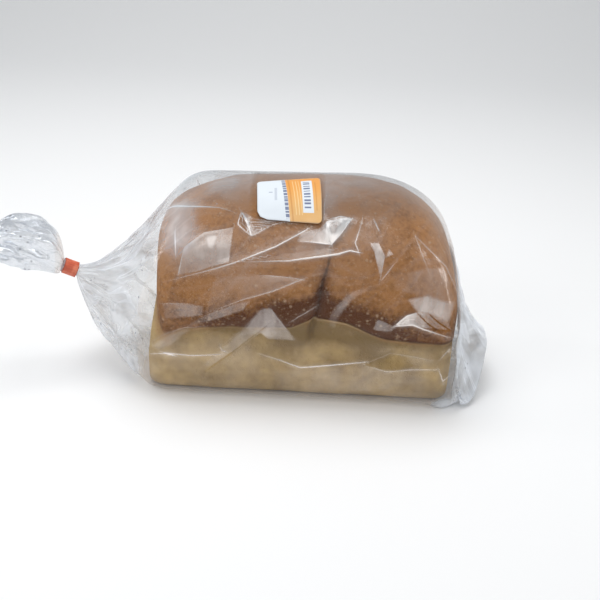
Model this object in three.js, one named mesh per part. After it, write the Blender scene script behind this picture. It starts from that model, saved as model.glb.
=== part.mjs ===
// A large domed loaf of bread in a clear film bag, lying on its flat underside.
// Millimetres, +Z up. The origin is the middle of the loaf's underside, +X runs along the loaf
// to the bag's welded end, and -Y is the front. The bag is gathered at -X, held by a band of red
// tape, and ends there in a loose tail of film. A paper label sits on the front of the dome.
import * as THREE from "three";

// Loaf
const LOAF_LENGTH = 246;
const LOAF_WIDTH = 132;
const LOAF_HEIGHT = 169;
const TIN_DEPTH = 62; // the pale sides reach this high, and the brown dome billows out above them
const LOBE_SEAM_X = 14; // where the two pieces of dough meet
const SECTION_MID_Z = 74; // the cross section is a rounded dome above this and a box below
const DOME_EXPONENT = 2.5;
const BASE_EXPONENT = 8;
const BASE_FLATTENING = 2; // how much of the box's rounded bottom is cut off flat
const END_ROUNDING = 16; // the part of the length in which the ends narrow
const END_NARROWING = 0.09;
const CROWN_X = 36; // the highest point, from which the crown rounds down to the right end
const RIGHT_ROUND_EXPONENT = 2.45;

// Film round the loaf
const FILM_CLEARANCE = 1.2;
const SHOULDER_X = -103; // the film stays up to here, above the loaf's own rounded left end
const SHOULDER_DROP = 5;
const SHOULDER_PASSES = 5; // how often the hard corner there is rounded off
const SHOULDER_RINGS = 4; // how many rings to each side that takes in
const DOME_END_X = 119; // where the film leaves the dome's right end
const CREASE_Z = 32; // the long crease that runs along the pale sides
const CREASE_OUT = 4;
const CREASE_REACH = 30;
const SEAM_DIP = 2;
const SEAM_LOW_Z = 65; // the seam fades out below this height and above the next
const SEAM_HIGH_Z = 120;
const OVERHANG_DIP = 2.4;
const DIP_WIDTH = 9;
const SKIRT_X = 96; // from here to the right the film spreads on the table, past the loaf's base
const SKIRT_RUN = 22;
const SKIRT_HEIGHT = 16;
const SKIRT_OUT = 11.5;

// Gathered end
const NECK = new THREE.Vector3(-188, -14, 84.5); // where the cone of film meets the neck
const NECK_RADIUS = 4.6;
const NECK_RUN = 14; // straight part of the neck, under the band
const NECK_PITCH = 0.42; // radians that the neck points up, away from the loaf
const NECK_YAW = 0.2; // radians that it points to the front
const PLEATS = 12;
const PLEAT_UNEVENNESS = 1.3;
const PLEAT_DEPTH = 0.35;
const CONE_PLEAT = 0.3; // depth of the cone's folds, as a share of its radius
const CONE_TOP_POWER = 1.75; // how hollow the cone is above
const CONE_BELLY_POWER = 0.64; // how slack it is below

// Tape band
const BAND_WIDTH = 12;
const BAND_WALL = 0.9;
const BAND_GAP = 0.45;
const TAPE_STEP = 0.5; // height of the step where the tape's outer end lies on its first turn

// Tail
const TAIL_LENGTH = 62;
const TAIL_RISE = 22;
const TAIL_RISE_TURN = 0.62; // share of a half wave that the rise follows, so it sinks at the end
const TAIL_HALF_HEIGHT = 23.5;
const TAIL_HALF_DEPTH = 17;
const TAIL_PUFF = 0.72; // size of the puff next to the band
const MOUTH_SHARE = 0.26; // size of the mouth, on the same scale
const TAIL_FOLDS = 7;
const TAIL_FOLD_DEPTH = 0.16;
const MOUTH_INSET = 8;

// Welded end
const SEAL_X = 138;
const SEAL_BOW = 19; // how much further out the weld reaches at its middle
const SEAL_HALF_WIDTH = 62;
const SEAL_GATHER = 0.8; // how much of the sides' film runs into the ears
const SEAL_MID_Z = 36;
const SEAL_ARCH = 1.25; // how soon the weld rises from an ear towards its middle
const SEAL_THICKNESS = 1.2;
const EAR_Z = 3.5;
const EAR_BULGE = 0.08;
const EAR_ROUNDING = 6; // how much of the ear's corner is rounded off
const EAR_ROUNDING_TURN = 0.4; // radians to each side of the ear that the rounding takes in
const HUG_ALONG = 0.3; // shares of the way to the weld at which the film still hugs the loaf
const HUG_ACROSS = 0.5;
const HUG_DOWN = 0.55;
const HUG_UP = 0.1;

// Label
const LABEL_LENGTH = 50;
const LABEL_X = -18;
const LABEL_LEAN = 3; // how much further right its lower edge lies
const LABEL_TOP_LEFT = 1.66; // radians round the dome, from the back, to the label's corners
const LABEL_TOP_RIGHT = 1.54;
const LABEL_BOTTOM_LEFT = 2.1;
const LABEL_BOTTOM_RIGHT = 2.12;
const LABEL_THICKNESS = 0.5;
const LABEL_GAP = 0.4;

// Mesh
const AROUND = 60; // points in each ring of the bag
const TAIL_RINGS = 13;
const NECK_RINGS = 2;
const CONE_RINGS = 13;
const BODY_RINGS = 24;
const END_RINGS = 7;
const BAND_FACETS = 48;
const LABEL_COLUMNS = 12;
const LABEL_ROWS = 10;
const SMALL_TURN = 0.01;

const clamp01 = (t) => Math.min(1, Math.max(0, t));
const smooth = (t) => clamp01(t) ** 2 * (3 - 2 * clamp01(t));
const mix = (a, b, t) => a + (b - a) * t;
const bell = (d, width) => Math.exp(-((d / width) ** 2));
const steps = (n, from, to) => Array.from({ length: n + 1 }, (_, i) => mix(from, to, i / n));

// Height of the film over the dome's crown, at x along the loaf
function crownHeight(x) {
  const left = clamp01((CROWN_X - x) / (CROWN_X - SHOULDER_X));
  const right = clamp01((x - CROWN_X) / (LOAF_LENGTH / 2 + 1 - CROWN_X));
  const round = (1 - right ** RIGHT_ROUND_EXPONENT) ** (1 / RIGHT_ROUND_EXPONENT);
  return mix(SECTION_MID_Z, LOAF_HEIGHT - SHOULDER_DROP * left, round);
}

// Half the loaf's width at x, narrower at its rounded ends
function halfWidth(x) {
  const into = clamp01((Math.abs(x) - (LOAF_LENGTH / 2 - END_ROUNDING)) / END_ROUNDING);
  return (LOAF_WIDTH / 2) * (1 - END_NARROWING * into ** 2);
}

// Point of the film round the loaf. The angle is 0 at the back, a quarter turn at the crown
// and a half turn at the front.
function bodyPoint(x, angle) {
  const c = Math.cos(angle);
  const s = Math.sin(angle);
  const above = s >= 0;
  const wide = halfWidth(x) + FILM_CLEARANCE;
  const high = above
    ? crownHeight(x) + FILM_CLEARANCE - SECTION_MID_Z
    : SECTION_MID_Z + BASE_FLATTENING;
  const n = above ? DOME_EXPONENT : BASE_EXPONENT;
  const r = ((Math.abs(c) / wide) ** n + (Math.abs(s) / high) ** n) ** (-1 / n);
  const z = Math.max(0, SECTION_MID_Z + r * s);
  const crease = CREASE_OUT * clamp01(1 - Math.abs(z - CREASE_Z) / CREASE_REACH);
  const seamSpan = (SEAM_HIGH_Z - SEAM_LOW_Z) / 2;
  const seamShare = smooth((z - SEAM_LOW_Z) / seamSpan + 0.5) * smooth((SEAM_HIGH_Z - z) / seamSpan + 0.5);
  const dips =
    OVERHANG_DIP * bell(z - TIN_DEPTH, DIP_WIDTH) +
    SEAM_DIP * bell(x - LOBE_SEAM_X, DIP_WIDTH) * seamShare;
  const skirt = SKIRT_OUT * smooth((x - SKIRT_X) / SKIRT_RUN) * clamp01(1 - z / SKIRT_HEIGHT) ** 2;
  const sideways = Math.sign(c) * smooth(2 * Math.abs(c) - 0.4);
  return new THREE.Vector3(x, r * c + sideways * (crease + skirt - dips), z);
}

// Where the film leaves the loaf, further in at the crown than at the table
const leftEnd = (angle) => mix(-LOAF_LENGTH / 2 - 1, SHOULDER_X, smooth(Math.sin(angle)));
const rightEnd = (angle) => mix(LOAF_LENGTH / 2, DOME_END_X, smooth(Math.sin(angle)));

// Unit vectors of the neck: along it towards the tail, to the back, and up
const neckAlong = new THREE.Vector3(
  -Math.cos(NECK_PITCH) * Math.cos(NECK_YAW),
  -Math.cos(NECK_PITCH) * Math.sin(NECK_YAW),
  Math.sin(NECK_PITCH),
);
const neckBack = new THREE.Vector3(0, 0, 1).cross(neckAlong).negate().normalize();
const neckUp = neckBack.clone().cross(neckAlong).normalize();

const pleat = (angle) => Math.cos(PLEATS * angle + PLEAT_UNEVENNESS * Math.sin(3 * angle));
const neckRadius = (angle) => NECK_RADIUS + PLEAT_DEPTH * pleat(angle);

function neckPoint(angle, distance) {
  return NECK.clone()
    .addScaledVector(neckAlong, distance)
    .addScaledVector(neckBack, neckRadius(angle) * Math.cos(angle))
    .addScaledVector(neckUp, neckRadius(angle) * Math.sin(angle));
}

// The film between the loaf's left end and the neck: taut and hollowed above, slack below
function conePoint(t, angle) {
  const from = bodyPoint(leftEnd(angle), angle);
  const to = neckPoint(angle, 0);
  const height = (Math.sin(angle) + 1) / 2;
  const power = mix(CONE_BELLY_POWER, CONE_TOP_POWER, smooth(height));
  const folds = 1 + CONE_PLEAT * smooth(1.25 * t) * (1 - t) * pleat(angle);
  const away = from.clone().sub(to).multiplyScalar((1 - t) ** power * folds);
  return new THREE.Vector3(mix(from.x, to.x, t), to.y + away.y, to.z + away.z);
}

// The loose film past the band: it puffs out at once, mostly upwards, and draws in to a mouth
function tailPoint(t, angle) {
  const level = new THREE.Vector3(-Math.cos(NECK_YAW), -Math.sin(NECK_YAW), 0);
  const start = neckRadius(angle) * (1 - smooth(2.2 * t));
  const puff = TAIL_PUFF * Math.sin(Math.PI * Math.sqrt(t)) ** 0.8;
  const wave = Math.cos(TAIL_FOLDS * angle + 1.2 * Math.sin(2 * angle) + 2 * t);
  const spread = (puff + MOUTH_SHARE * smooth(1.6 * t)) * (1 + TAIL_FOLD_DEPTH * smooth(3 * t) * wave);
  const rise = TAIL_RISE * Math.sin(TAIL_RISE_TURN * Math.PI * Math.sqrt(t));
  const p = NECK.clone()
    .addScaledVector(neckAlong, NECK_RUN)
    .addScaledVector(level, TAIL_LENGTH * t)
    .addScaledVector(neckBack, Math.cos(angle) * (start + TAIL_HALF_DEPTH * spread))
    .addScaledVector(neckUp, Math.sin(angle) * start);
  p.z += rise + Math.sin(angle) * TAIL_HALF_HEIGHT * spread;
  return p;
}

// How far towards an ear the film at this angle ends up: 0 at the middle of the weld, 1 at an ear
function gatheredShare(angle) {
  const turned = Math.abs(Math.cos(angle));
  return turned ** mix(1, 1 - SEAL_GATHER, turned);
}

// The welded edge: it arches over the loaf's right end and droops into an ear at each side
function sealPoint(angle) {
  const gathered = gatheredShare(angle);
  const side = Math.sign(Math.sin(angle)) || 0;
  const lift = smooth(SEAL_ARCH * (1 - gathered));
  const fromEar = Math.asin(Math.min(1, Math.abs(Math.sin(angle))));
  return new THREE.Vector3(
    SEAL_X + SEAL_BOW * (1 - gathered ** 2) - EAR_ROUNDING * bell(fromEar, EAR_ROUNDING_TURN),
    SEAL_HALF_WIDTH * gathered * Math.sign(Math.cos(angle)),
    mix(EAR_Z, SEAL_MID_Z, lift) + (side * SEAL_THICKNESS * Math.sqrt(lift)) / 2,
  );
}

// The film past the loaf: it hugs the end of the loaf, then runs out to the weld
function endPoint(t, angle) {
  const from = bodyPoint(rightEnd(angle), angle);
  const to = sealPoint(angle);
  const bend = new THREE.Vector3(
    mix(from.x, to.x, HUG_ALONG),
    mix(from.y, to.y, HUG_ACROSS) * (1 + EAR_BULGE * gatheredShare(angle) ** 2),
    mix(from.z, to.z, from.z > to.z ? HUG_DOWN : HUG_UP),
  );
  return new THREE.QuadraticBezierCurve3(from, bend, to).getPoint(t);
}

// Rings of points, joined side by side into one closed solid
function solidFromRings(rings, capFirst, capLast) {
  const count = rings[0].length;
  const points = rings.flat();
  const faces = [];
  const at = (ring, j) => ring * count + ((j + count) % count);
  for (let i = 0; i + 1 < rings.length; i++) {
    for (let j = 0; j < count; j++) {
      faces.push(at(i, j), at(i, j + 1), at(i + 1, j + 1));
      faces.push(at(i, j), at(i + 1, j + 1), at(i + 1, j));
    }
  }
  capFirst(faces, points, (j) => at(0, j), count);
  capLast(faces, points, (j) => at(rings.length - 1, j), count);
  const geometry = new THREE.BufferGeometry().setFromPoints(points);
  geometry.setIndex(faces);
  geometry.computeVertexNormals();
  return geometry;
}

// A cap that meets in one point, as at the tail's mouth
const fanTo = (middle) => (faces, points, at, count) => {
  points.push(middle);
  for (let j = 0; j < count; j++) faces.push(at(j), points.length - 1, at(j + 1));
};

// A cap that joins each upper point to the one below it, as along the weld
function zipped(faces, points, at, count) {
  for (let j = 0; j < count / 2; j++) {
    const [a, b, c, d] = [at(j), at(j + 1), at(count - j - 1), at(count - j)];
    if (b !== c) faces.push(a, b, c);
    if (a !== d) faces.push(a, c, d);
  }
}

// Rounds the corner between two rings, all the way at the crown and not at all near the table
function roundOff(rings, first, last) {
  for (let pass = 0; pass < SHOULDER_PASSES; pass++) {
    for (let i = first; i <= last; i++) {
      rings[i].forEach((p, j) => {
        const between = rings[i - 1][j].clone().lerp(rings[i + 1][j], 0.5);
        p.lerp(between, smooth(p.z / SECTION_MID_Z - 0.5) / 2);
      });
    }
  }
}

function bagGeometry() {
  const ring = (point) =>
    Array.from({ length: AROUND }, (_, j) => point((2 * Math.PI * j) / AROUND));
  const tail = steps(TAIL_RINGS, 1, 0.02).map((t) => ring((a) => tailPoint(t, a)));
  const neck = steps(NECK_RINGS, NECK_RUN, 0).map((d) => ring((a) => neckPoint(a, d)));
  const cone = steps(CONE_RINGS, 0.94, 0).map((t) => ring((a) => conePoint(t, a)));
  const body = steps(BODY_RINGS, 1 / BODY_RINGS, 1).map((t) =>
    ring((a) => bodyPoint(mix(leftEnd(a), rightEnd(a), t), a)),
  );
  const end = steps(END_RINGS, 1 / END_RINGS, 1).map((t) => ring((a) => endPoint(t, a)));
  const rings = [...tail, ...neck, ...cone, ...body, ...end];
  const shoulder = tail.length + neck.length + cone.length - 1;
  roundOff(rings, shoulder - SHOULDER_RINGS, shoulder + SHOULDER_RINGS);
  const mouth = tail[0].reduce((sum, p) => sum.add(p), new THREE.Vector3());
  mouth.divideScalar(AROUND).addScaledVector(neckAlong, -MOUTH_INSET);
  return solidFromRings(rings, fanTo(mouth), zipped);
}

// The band: a strip of tape wound round the neck, its outer end lying on its first turn
function bandGeometry() {
  const inner = NECK_RADIUS + PLEAT_DEPTH + BAND_GAP;
  const outline = new THREE.Shape(
    steps(BAND_FACETS, 0, 2 * Math.PI).map((turn) => {
      const r = inner + BAND_WALL + (TAPE_STEP * turn) / (2 * Math.PI);
      return new THREE.Vector2(r * Math.cos(turn), r * Math.sin(turn));
    }),
  );
  outline.holes.push(new THREE.Path().absarc(0, 0, inner, 0, 2 * Math.PI, true));
  return new THREE.ExtrudeGeometry(outline, {
    depth: BAND_WIDTH,
    bevelEnabled: false,
    curveSegments: BAND_FACETS / 2,
  });
}

// The label: a thin sheet that follows the dome, clear of the film under it
function labelGeometry() {
  const outward = (x, angle) => {
    const here = bodyPoint(x, angle);
    const alongX = bodyPoint(x + 1, angle).sub(here);
    const round = bodyPoint(x, angle + SMALL_TURN).sub(here);
    return round.cross(alongX).normalize();
  };
  const labelPoint = (across, down, lift) => {
    const x = LABEL_X + LABEL_LENGTH * (across - 0.5) + LABEL_LEAN * down;
    const top = mix(LABEL_TOP_LEFT, LABEL_TOP_RIGHT, across);
    const bottom = mix(LABEL_BOTTOM_LEFT, LABEL_BOTTOM_RIGHT, across);
    const angle = mix(top, bottom, down);
    return bodyPoint(x, angle).addScaledVector(outward(x, angle), lift);
  };
  const sheet = (lift) =>
    steps(LABEL_ROWS, 0, 1).map((down) =>
      steps(LABEL_COLUMNS, 0, 1).map((across) => labelPoint(across, down, lift)),
    );
  const upper = sheet(LABEL_GAP + LABEL_THICKNESS);
  const lower = sheet(LABEL_GAP);
  // Each row becomes a flat loop: back along the upper face and out along the lower one
  const loops = upper.map((row, i) => [...row.slice().reverse(), ...lower[i]]);
  const strip = (flip) => (faces, points, at, count) => {
    for (let j = 0; j < LABEL_COLUMNS; j++) {
      const quad = [at(j), at(j + 1), at(count - 2 - j), at(count - 1 - j)];
      if (flip) quad.reverse();
      faces.push(quad[0], quad[1], quad[2], quad[0], quad[2], quad[3]);
    }
  };
  return solidFromRings(loops, strip(true), strip(false));
}

const breadInFilm = new THREE.MeshStandardMaterial({ color: 0xa27a55, roughness: 0.25, metalness: 0 });
const redTape = new THREE.MeshStandardMaterial({ color: 0xd0401f, roughness: 0.45, metalness: 0 });
const labelPaper = new THREE.MeshStandardMaterial({ color: 0xf0b860, roughness: 0.5, metalness: 0 });

function named(name, geometry, material) {
  const mesh = new THREE.Mesh(geometry, material);
  mesh.name = name;
  return mesh;
}

const bag = named("bag", bagGeometry(), breadInFilm);
const label = named("label", labelGeometry(), labelPaper);

const band = named("tie_band", bandGeometry(), redTape);
const bandTurn = new THREE.Matrix4().makeBasis(neckBack, neckUp, neckAlong.clone().negate());
band.quaternion.setFromRotationMatrix(bandTurn);
band.position.copy(NECK).addScaledVector(neckAlong, (NECK_RUN + BAND_WIDTH) / 2);

const baggedLoaf = new THREE.Group();
baggedLoaf.add(bag, band, label);

export default baggedLoaf;
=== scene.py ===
import math

import bmesh
import bpy
import numpy as np
from bpy.props import FloatProperty, FloatVectorProperty, PointerProperty
from mathutils import Matrix, Vector


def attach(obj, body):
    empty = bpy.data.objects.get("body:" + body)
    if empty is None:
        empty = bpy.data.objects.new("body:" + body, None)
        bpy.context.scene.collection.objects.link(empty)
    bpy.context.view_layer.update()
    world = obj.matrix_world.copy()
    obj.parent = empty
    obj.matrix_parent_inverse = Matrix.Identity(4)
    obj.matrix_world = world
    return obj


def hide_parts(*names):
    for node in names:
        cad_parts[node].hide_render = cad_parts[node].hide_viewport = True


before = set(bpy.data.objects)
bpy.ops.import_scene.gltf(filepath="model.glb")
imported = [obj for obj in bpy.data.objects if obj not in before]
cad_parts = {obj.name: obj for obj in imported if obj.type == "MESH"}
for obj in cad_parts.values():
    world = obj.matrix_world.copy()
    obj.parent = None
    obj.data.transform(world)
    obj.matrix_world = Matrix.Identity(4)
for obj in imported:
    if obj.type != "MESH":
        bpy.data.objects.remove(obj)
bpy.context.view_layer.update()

bl_info = {
    "name": "Bagged Loaf",
    "version": (1, 0, 0),
    "blender": (4, 5, 0),
    "location": "View3D > Sidebar > Bagged Loaf",
    "description": "Dresses the packed loaf in a bag: bread, film, tape, label and studio",
    "category": "Object",
}

MM = 0.001
SAME_POINT = 0.00002  # metres between points that are merged

# Loaf
LOAF_LENGTH = 246
LOAF_WIDTH = 132
LOAF_HEIGHT = 169
TIN_DEPTH = 62  # the pale sides reach this high, and the brown dome billows out above them
LOBE_SEAM_X = 14
SECTION_MID_Z = 74
DOME_EXPONENT = 2.5
BASE_EXPONENT = 8
BASE_FLATTENING = 2
END_ROUNDING = 16
END_NARROWING = 0.09
CROWN_X = 36
RIGHT_ROUND_EXPONENT = 2.45
LIP_INSET = 5.0  # how far the pale sides stand back under the dome
LIP_RISE = 7
END_RADIUS = 11  # rounding of the loaf's end edges
END_FACE_BULGE = 0.9
LOAF_FOOT = 0.4  # how far the bread's underside stands off the table
LOAF_RINGS = 230
LOAF_END_RINGS = 14
LOAF_COLUMNS = 230
LOAF_FRONT_WEIGHT = 2.0  # how much closer together the front's columns are
CROWN_LINE_X = (-123, -115, -105, -87, -61, -10, 30, 50, 74, 93, 105, 115, 123)
CROWN_LINE_Z = (133, 139, 147, 155.5, 164, 168, 169.1, 167.6, 161.8, 151.5, 141.5, 126, 98)
CROWN_SOFTNESS = 4
BAKE_LINE_X = (-123, -117, -110, -98, -60, -10, -1, 8, 20, 32, 43, 54, 66, 90, 123)
BAKE_LINE_Z = (80, 60, 54, 61, 65, 67, 72, 75, 76.5, 75.5, 70.5, 65, 61, 59, 59)
BAKE_SOFTNESS = 4
DOME_LEAN = 4.5  # how far the dome stands back from the pale sides at the left end
FOOT_OUT = 2.2  # how far the pale sides reach out there, low down
RIGHT_OUT = 1.2  # how far the dome reaches out at its right end, at mid height
RIGHT_OUT_Z = 82
RIGHT_OUT_REACH = 24
RIGHT_BACK = 3  # how far it draws back above that
SEAM_LEAN = 0.16  # how far the seam between the lobes leans to the right, as it rises
SEAM_WAVE = 0.5
SEAM_MID_Z = 110
RIGHT_TRIM = 2.5  # how much shorter the bread is than the film round it, at the right
LUMP_BIG = 0.9  # heights of the crust's gentle lumps
LUMP_SMALL = 0.6
LUMP_SINK = 0.6
LUMP_LIMIT = 0.2
SIDE_WAVE = 0.35
PALE_SHRINK = 0.35  # how much of the end's rounding the pale sides take
# Where these come in, along the loaf or up it, and over how many mm
LEFT_END = (-60, 50)
RIGHT_END = (70, 45)
DOME_FOOT = (50, 18)
DOME_TOP = (110, 40)
RIGHT_TOP = (112, 30)
PALE_FOOT = (56, 30)
VALLEY_FOOT = (42, 18)
VALLEY_TOP = (150, 60)
LUMP_FOOT = (56, 12)
SIDE_WAVE_TOP = (58, 8)

# Bake of the crust, and the shade painted on the bread
BAKE_EDGE = 3  # mm over which the crust turns brown
BAKE_EDGE_LEFT = 8
BAKE_LIMIT = 4
SEAM_SHADE = 0.5
LOBE_SHADE = 0.8
LOW_SHADE_FAR = 0.22  # share of the low shade at the dome's ends
UNDER_LIP_SHADE = 1.5
LIP_EDGE_SHADE = 0.4
# How much the painted shade on the pale sides lessens near the foot
FOOT_LIGHT = 0.35
LIP_LINE_LEFT = 0.25  # share of the painted dark shade line along the lip, left of the seam

# Film round the loaf
FILM_CLEARANCE = 1.2
SHOULDER_X = -103
SHOULDER_DROP = 5
SHOULDER_PASSES = 170
SHOULDER_TO_CONE = 20  # rings to each side that the rounding of the shoulder takes in
SHOULDER_TO_BODY = 30
DOME_END_X = 119
CREASE_Z = 32
CREASE_OUT = 4
CREASE_REACH = 30
SEAM_DIP = 2
SEAM_LOW_Z = 65
SEAM_HIGH_Z = 120
OVERHANG_DIP = 2.4
DIP_WIDTH = 9
SKIRT_X = 96  # from here to the right the film spreads on the table
SKIRT_RUN = 22
SKIRT_HEIGHT = 16
SKIRT_OUT = 11.5
FILM_FOOT = 0.2  # how far the film's underside stands off the table
FILM_COLUMNS = 288
FILM_FRONT_WEIGHT = 2.2
CONE_RINGS = 64
BODY_RINGS = 176
END_RINGS = 52
NECK_RINGS = 8
ALL_ROUND = (-math.pi / 2, 3 * math.pi / 2)  # angles from under the loaf and back to it
FINE_STEPS = 6000
NECK_SLACK = 0.3  # mm that the film stands out near the neck
WELD_SLACK = 1.3
WELD_CRUMPLE = 0.5  # share of the crumple at the welded end
WRINKLE_HIGH = 0.7  # share of the wrinkles on the dome, and on the pale sides below
WRINKLE_LOW = 1.5

# Whiteness of the film, and how much painted sheen its facets carry
NECK_HAZE = 0.26
WELD_HAZE = 0.5
TABLE_HAZE = 0.42
LOW_VEIL = 0.08
HIGH_VEIL = 0.12
CROWN_VEIL = 0.05
SHOULDER_VEIL = 0.14
TAIL_HAZE = 0.12
TAIL_HAZE_MORE = 0.18
BODY_FACETS = 0.08
END_FACETS = 0.4
TAIL_FACET_GLEAM = 0.6
# Flat facets of the film, wide, close and tiny, each as (size in mm, seed)
FILM_FACETS = ((34, 3), (15, 11), (7, 5))
TAIL_FACETS = ((17, 21), (9, 31), (4, 41))
FACET_TABLE = 64

# Gathered end
NECK = np.array((-188.0, -14.0, 84.5))
NECK_RADIUS = 4.6
NECK_RUN = 14
NECK_PITCH = 0.42
NECK_YAW = 0.2
PLEATS = 12
PLEAT_UNEVENNESS = 1.3
PLEAT_DEPTH = 0.35
CONE_PLEAT = 0.3
CONE_TOP_POWER = 1.75
CONE_BELLY_POWER = 0.64
CONE_END = 0.985

# Tape band
BAND_WIDTH = 12
BAND_GAP = 0.45
TAPE_THICKNESS = 0.35
TAPE_TURNS = 1.35
TAPE_LIFT = 0.35  # how far the outer end of the tape stands off its first turn
TAPE_START = 2.2  # angle round the neck where the tape's inner end lies
TAPE_STEP = 0.5
TAPE_COLUMNS = 150
TAPE_ROWS = 22

# Tail
TAIL_LENGTH = 62
TAIL_RISE = 22
TAIL_RISE_TURN = 0.62
TAIL_HALF_HEIGHT = 23.5
TAIL_HALF_DEPTH = 17
TAIL_PUFF = 0.72
MOUTH_SHARE = 0.26
TAIL_FOLDS = 7
TAIL_FOLD_UNEVENNESS = 1.2
TAIL_FOLD_DEPTH = 0.16
TAIL_RINGS = 96
TAIL_COLUMNS = 220
TAIL_GIRTH_STEP = 26  # mm of film for each radian round it

# Welded end
SEAL_X = 138
SEAL_BOW = 19
SEAL_HALF_WIDTH = 62
SEAL_GATHER = 0.8
SEAL_MID_Z = 36
SEAL_ARCH = 1.25
SEAL_THICKNESS = 1.2
EAR_Z = 3.5
EAR_BULGE = 0.08
EAR_ROUNDING = 6
EAR_ROUNDING_TURN = 0.4
HUG_ALONG = 0.25
HUG_ACROSS = 0.5
HUG_DOWN = 0.71
HUG_UP = 0.1

# Label
LABEL_LENGTH = 50
LABEL_HEIGHT = 50
LABEL_X = -18
LABEL_LEAN = 3  # how much further right its lower edge lies
LABEL_TOP_LEFT = 1.66
LABEL_TOP_RIGHT = 1.54
LABEL_BOTTOM_LEFT = 2.10
LABEL_BOTTOM_RIGHT = 2.12
LABEL_LIFT = 0.6
LABEL_THICKNESS = 0.25
LABEL_CORNER = 4
LABEL_CUT = 8  # the clipped corner at the front left
LABEL_CELL = 1.0
# Label print, each as (from, to) in mm from its left edge, or from its top edge where it runs down
PRINT_SLANT = 0.07
BOX_SLANT = 0.03
FIELD_EDGE = (21.6, 22.0)
FIELD_DOWN = (4, 44)
FIELD_LINES = ((27.0, 27.6), (29.3, 30.0), (31.5, 32.0))
FIELD_DARK_LINE = (23.6, 24.8)
BLOCKS = (18.9, 21.7)
BLOCKS_DOWN = (1.0, 48.0)
BOX = (34.2, 42.6)
BOX_DOWN = (5.0, 42.0)
STRIPES = (35.6, 40.6)
STRIPES_DOWN = (7.5, 38.5)
NOTE = (44.6, 45.4)
NOTE_DOWN = (8, 40)
DASH = (9.0, 12.0)
DASH_DOWN = (19.5, 20.6)
PALE_DASH = (13.5, 15.5)
PALE_DASH_DOWN = (14, 30)

# Camera, as the loaf was seen
CAMERA_DISTANCE = 900
CAMERA_TARGET = (-4, 0, 60)
CAMERA_ELEVATION = 27.5
CAMERA_ROLL = 3.0
IMAGE_PIXELS = 600
FOCAL_PIXELS = 1061
SENSOR_WIDTH = 36
CAMERA_CLIP = (0.01, 20)

# Studio, in metres. Each light has its place, its aim, its width and its depth, and the lights at
# the sides have their share of the side light's power.
FLOOR_SIZE = 2.5
BACKDROP_START = 0.9
BACKDROP_RADIUS = 0.9
KEY_LIGHT = ((-0.10, 0.20, 1.15), (0, 0, 0.05), 0.9, 0.7)
SIDE_LIGHTS = {
    "side_front_left": ((-0.75, -0.65, 0.80), (0, 0, 0.08), 0.45, 0.45, 1),
    "glint_front": ((0.15, -0.50, 1.20), (0, 0, 0.1), 0.40, 0.40, 0.6),
    "card_front": ((0.05, -0.85, 0.80), (0, 0, 0.1), 1.1, 0.5, 0.8),
    "strip_left": ((-1.10, 0.10, 0.55), (-0.1, 0, 0.08), 0.12, 0.80, 0.6),
    "strip_right": ((0.95, -0.55, 0.45), (0.1, 0, 0.08), 0.12, 0.80, 0.6),
}

# Colours that no setting changes
# Painted highlight along the tin's edge just below the lip
TIN_EDGE_HIGHLIGHT = (0.72, 0.56, 0.32)
SPECK_COLOUR = (0.2, 0.2, 0.22)
# Grey that the label turns towards its edges, and in a faint uneven smudge
EDGE_AND_SMUDGE_GREY = (0.5, 0.48, 0.45)
SKY_COLOUR = (0.94, 0.97, 1.0)

# Film folds on the front, in mm: x along the loaf, and the height on a plane tilted back as the
# front is seen. Each is (lift of the film, width of its slope, gleam at both ends, points along it);
# the gleam is a painted highlight along the fold, and painted shade where it is below 0.
# The back has them too, moved a little by the drift.
VIEW_TILT = math.radians(CAMERA_ELEVATION)
CREASED_FRONT = 0.44 * math.pi
CREASED_BACK = 0.36 * math.pi
BACK_DRIFT = 8
FOLDS_TO_NECK = 0.15  # share of the way to the neck, and to the weld, that the folds reach
FOLDS_TO_WELD = 0.25
FOLD_GLEAM_REACH = 4
PATCH_GLEAM_REACH = 4
PATCH_RIM = 0.22  # share of a patch's gleam far from its brightest place
FAR = 1000  # mm to the nearest fold where there is none
FOLDS_A = {
    "main": (1.1, 6, (0.2, 1.1), ((-110, 62), (-71, 74), (-54, 80), (-25, 93), (-10, 102), (8, 114))),
    "second": (0.9, 5, (0.1, 1.5), ((-54, 80), (-14, 83), (18, 89), (24, 90), (32, 93), (39, 92))),
    "shoulder": (0.7, 4, (0.8, 0.1), ((-95, 121), (-86, 121), (-70, 121), (-54, 117))),
    "tent side": (0.8, 5, (0.95, 0.6), ((18, 97), (24, 105), (33, 118))),
    "small wedge": (0.8, 4, (0.05, 0.55), ((-51, 71), (-27, 71), (-8, 70), (-2, 69))),
    "right tick": (0.5, 3, (0.35, 0.7), ((49, 119), (54, 109))),
    "right quad": (0.6, 4, (0.3, 0.3), ((54, 100), (59, 90), (57, 73))),
    "long v": (0.6, 4, (0.45, 0.3), ((82, 107), (107, 85), (115, 71), (120, 62))),
    "crinkle": (1.2, 4, (1.1, 0.4), ((71, 37), (80, 46), (89, 49))),
    "crinkle foot": (1.0, 4, (1.0, 0.4), ((71, 37), (85, 39), (94, 36), (116, 30))),
    "soft diagonal": (0.5, 4, (0.2, 0.25), ((-12, 35), (10, 50))),
    "low left": (1.2, 6, (0.5, 0.5), ((-122, 4), (-107, 6), (-88, 5), (-64, 7))),
    "low middle": (1.0, 5, (0.35, 0.9), ((-34, 9), (-17, 5), (-1, 0), (23, 3), (50, 7))),
    "low right": (0.8, 5, (0.3, 0.4), ((51, 4), (69, 0), (87, 3), (109, 4))),
    "left pleat": (0.4, 3, (0.5, 0.25), ((-103, 101), (-101, 80))),
    "beside label": (0.4, 3, (0.3, 0.35), ((11, 131), (11, 114))),
    "low tent side": (0.8, 6, (0.2, 0.1), ((-26, 44), (-16, 33), (-6, 22))),
}
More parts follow.
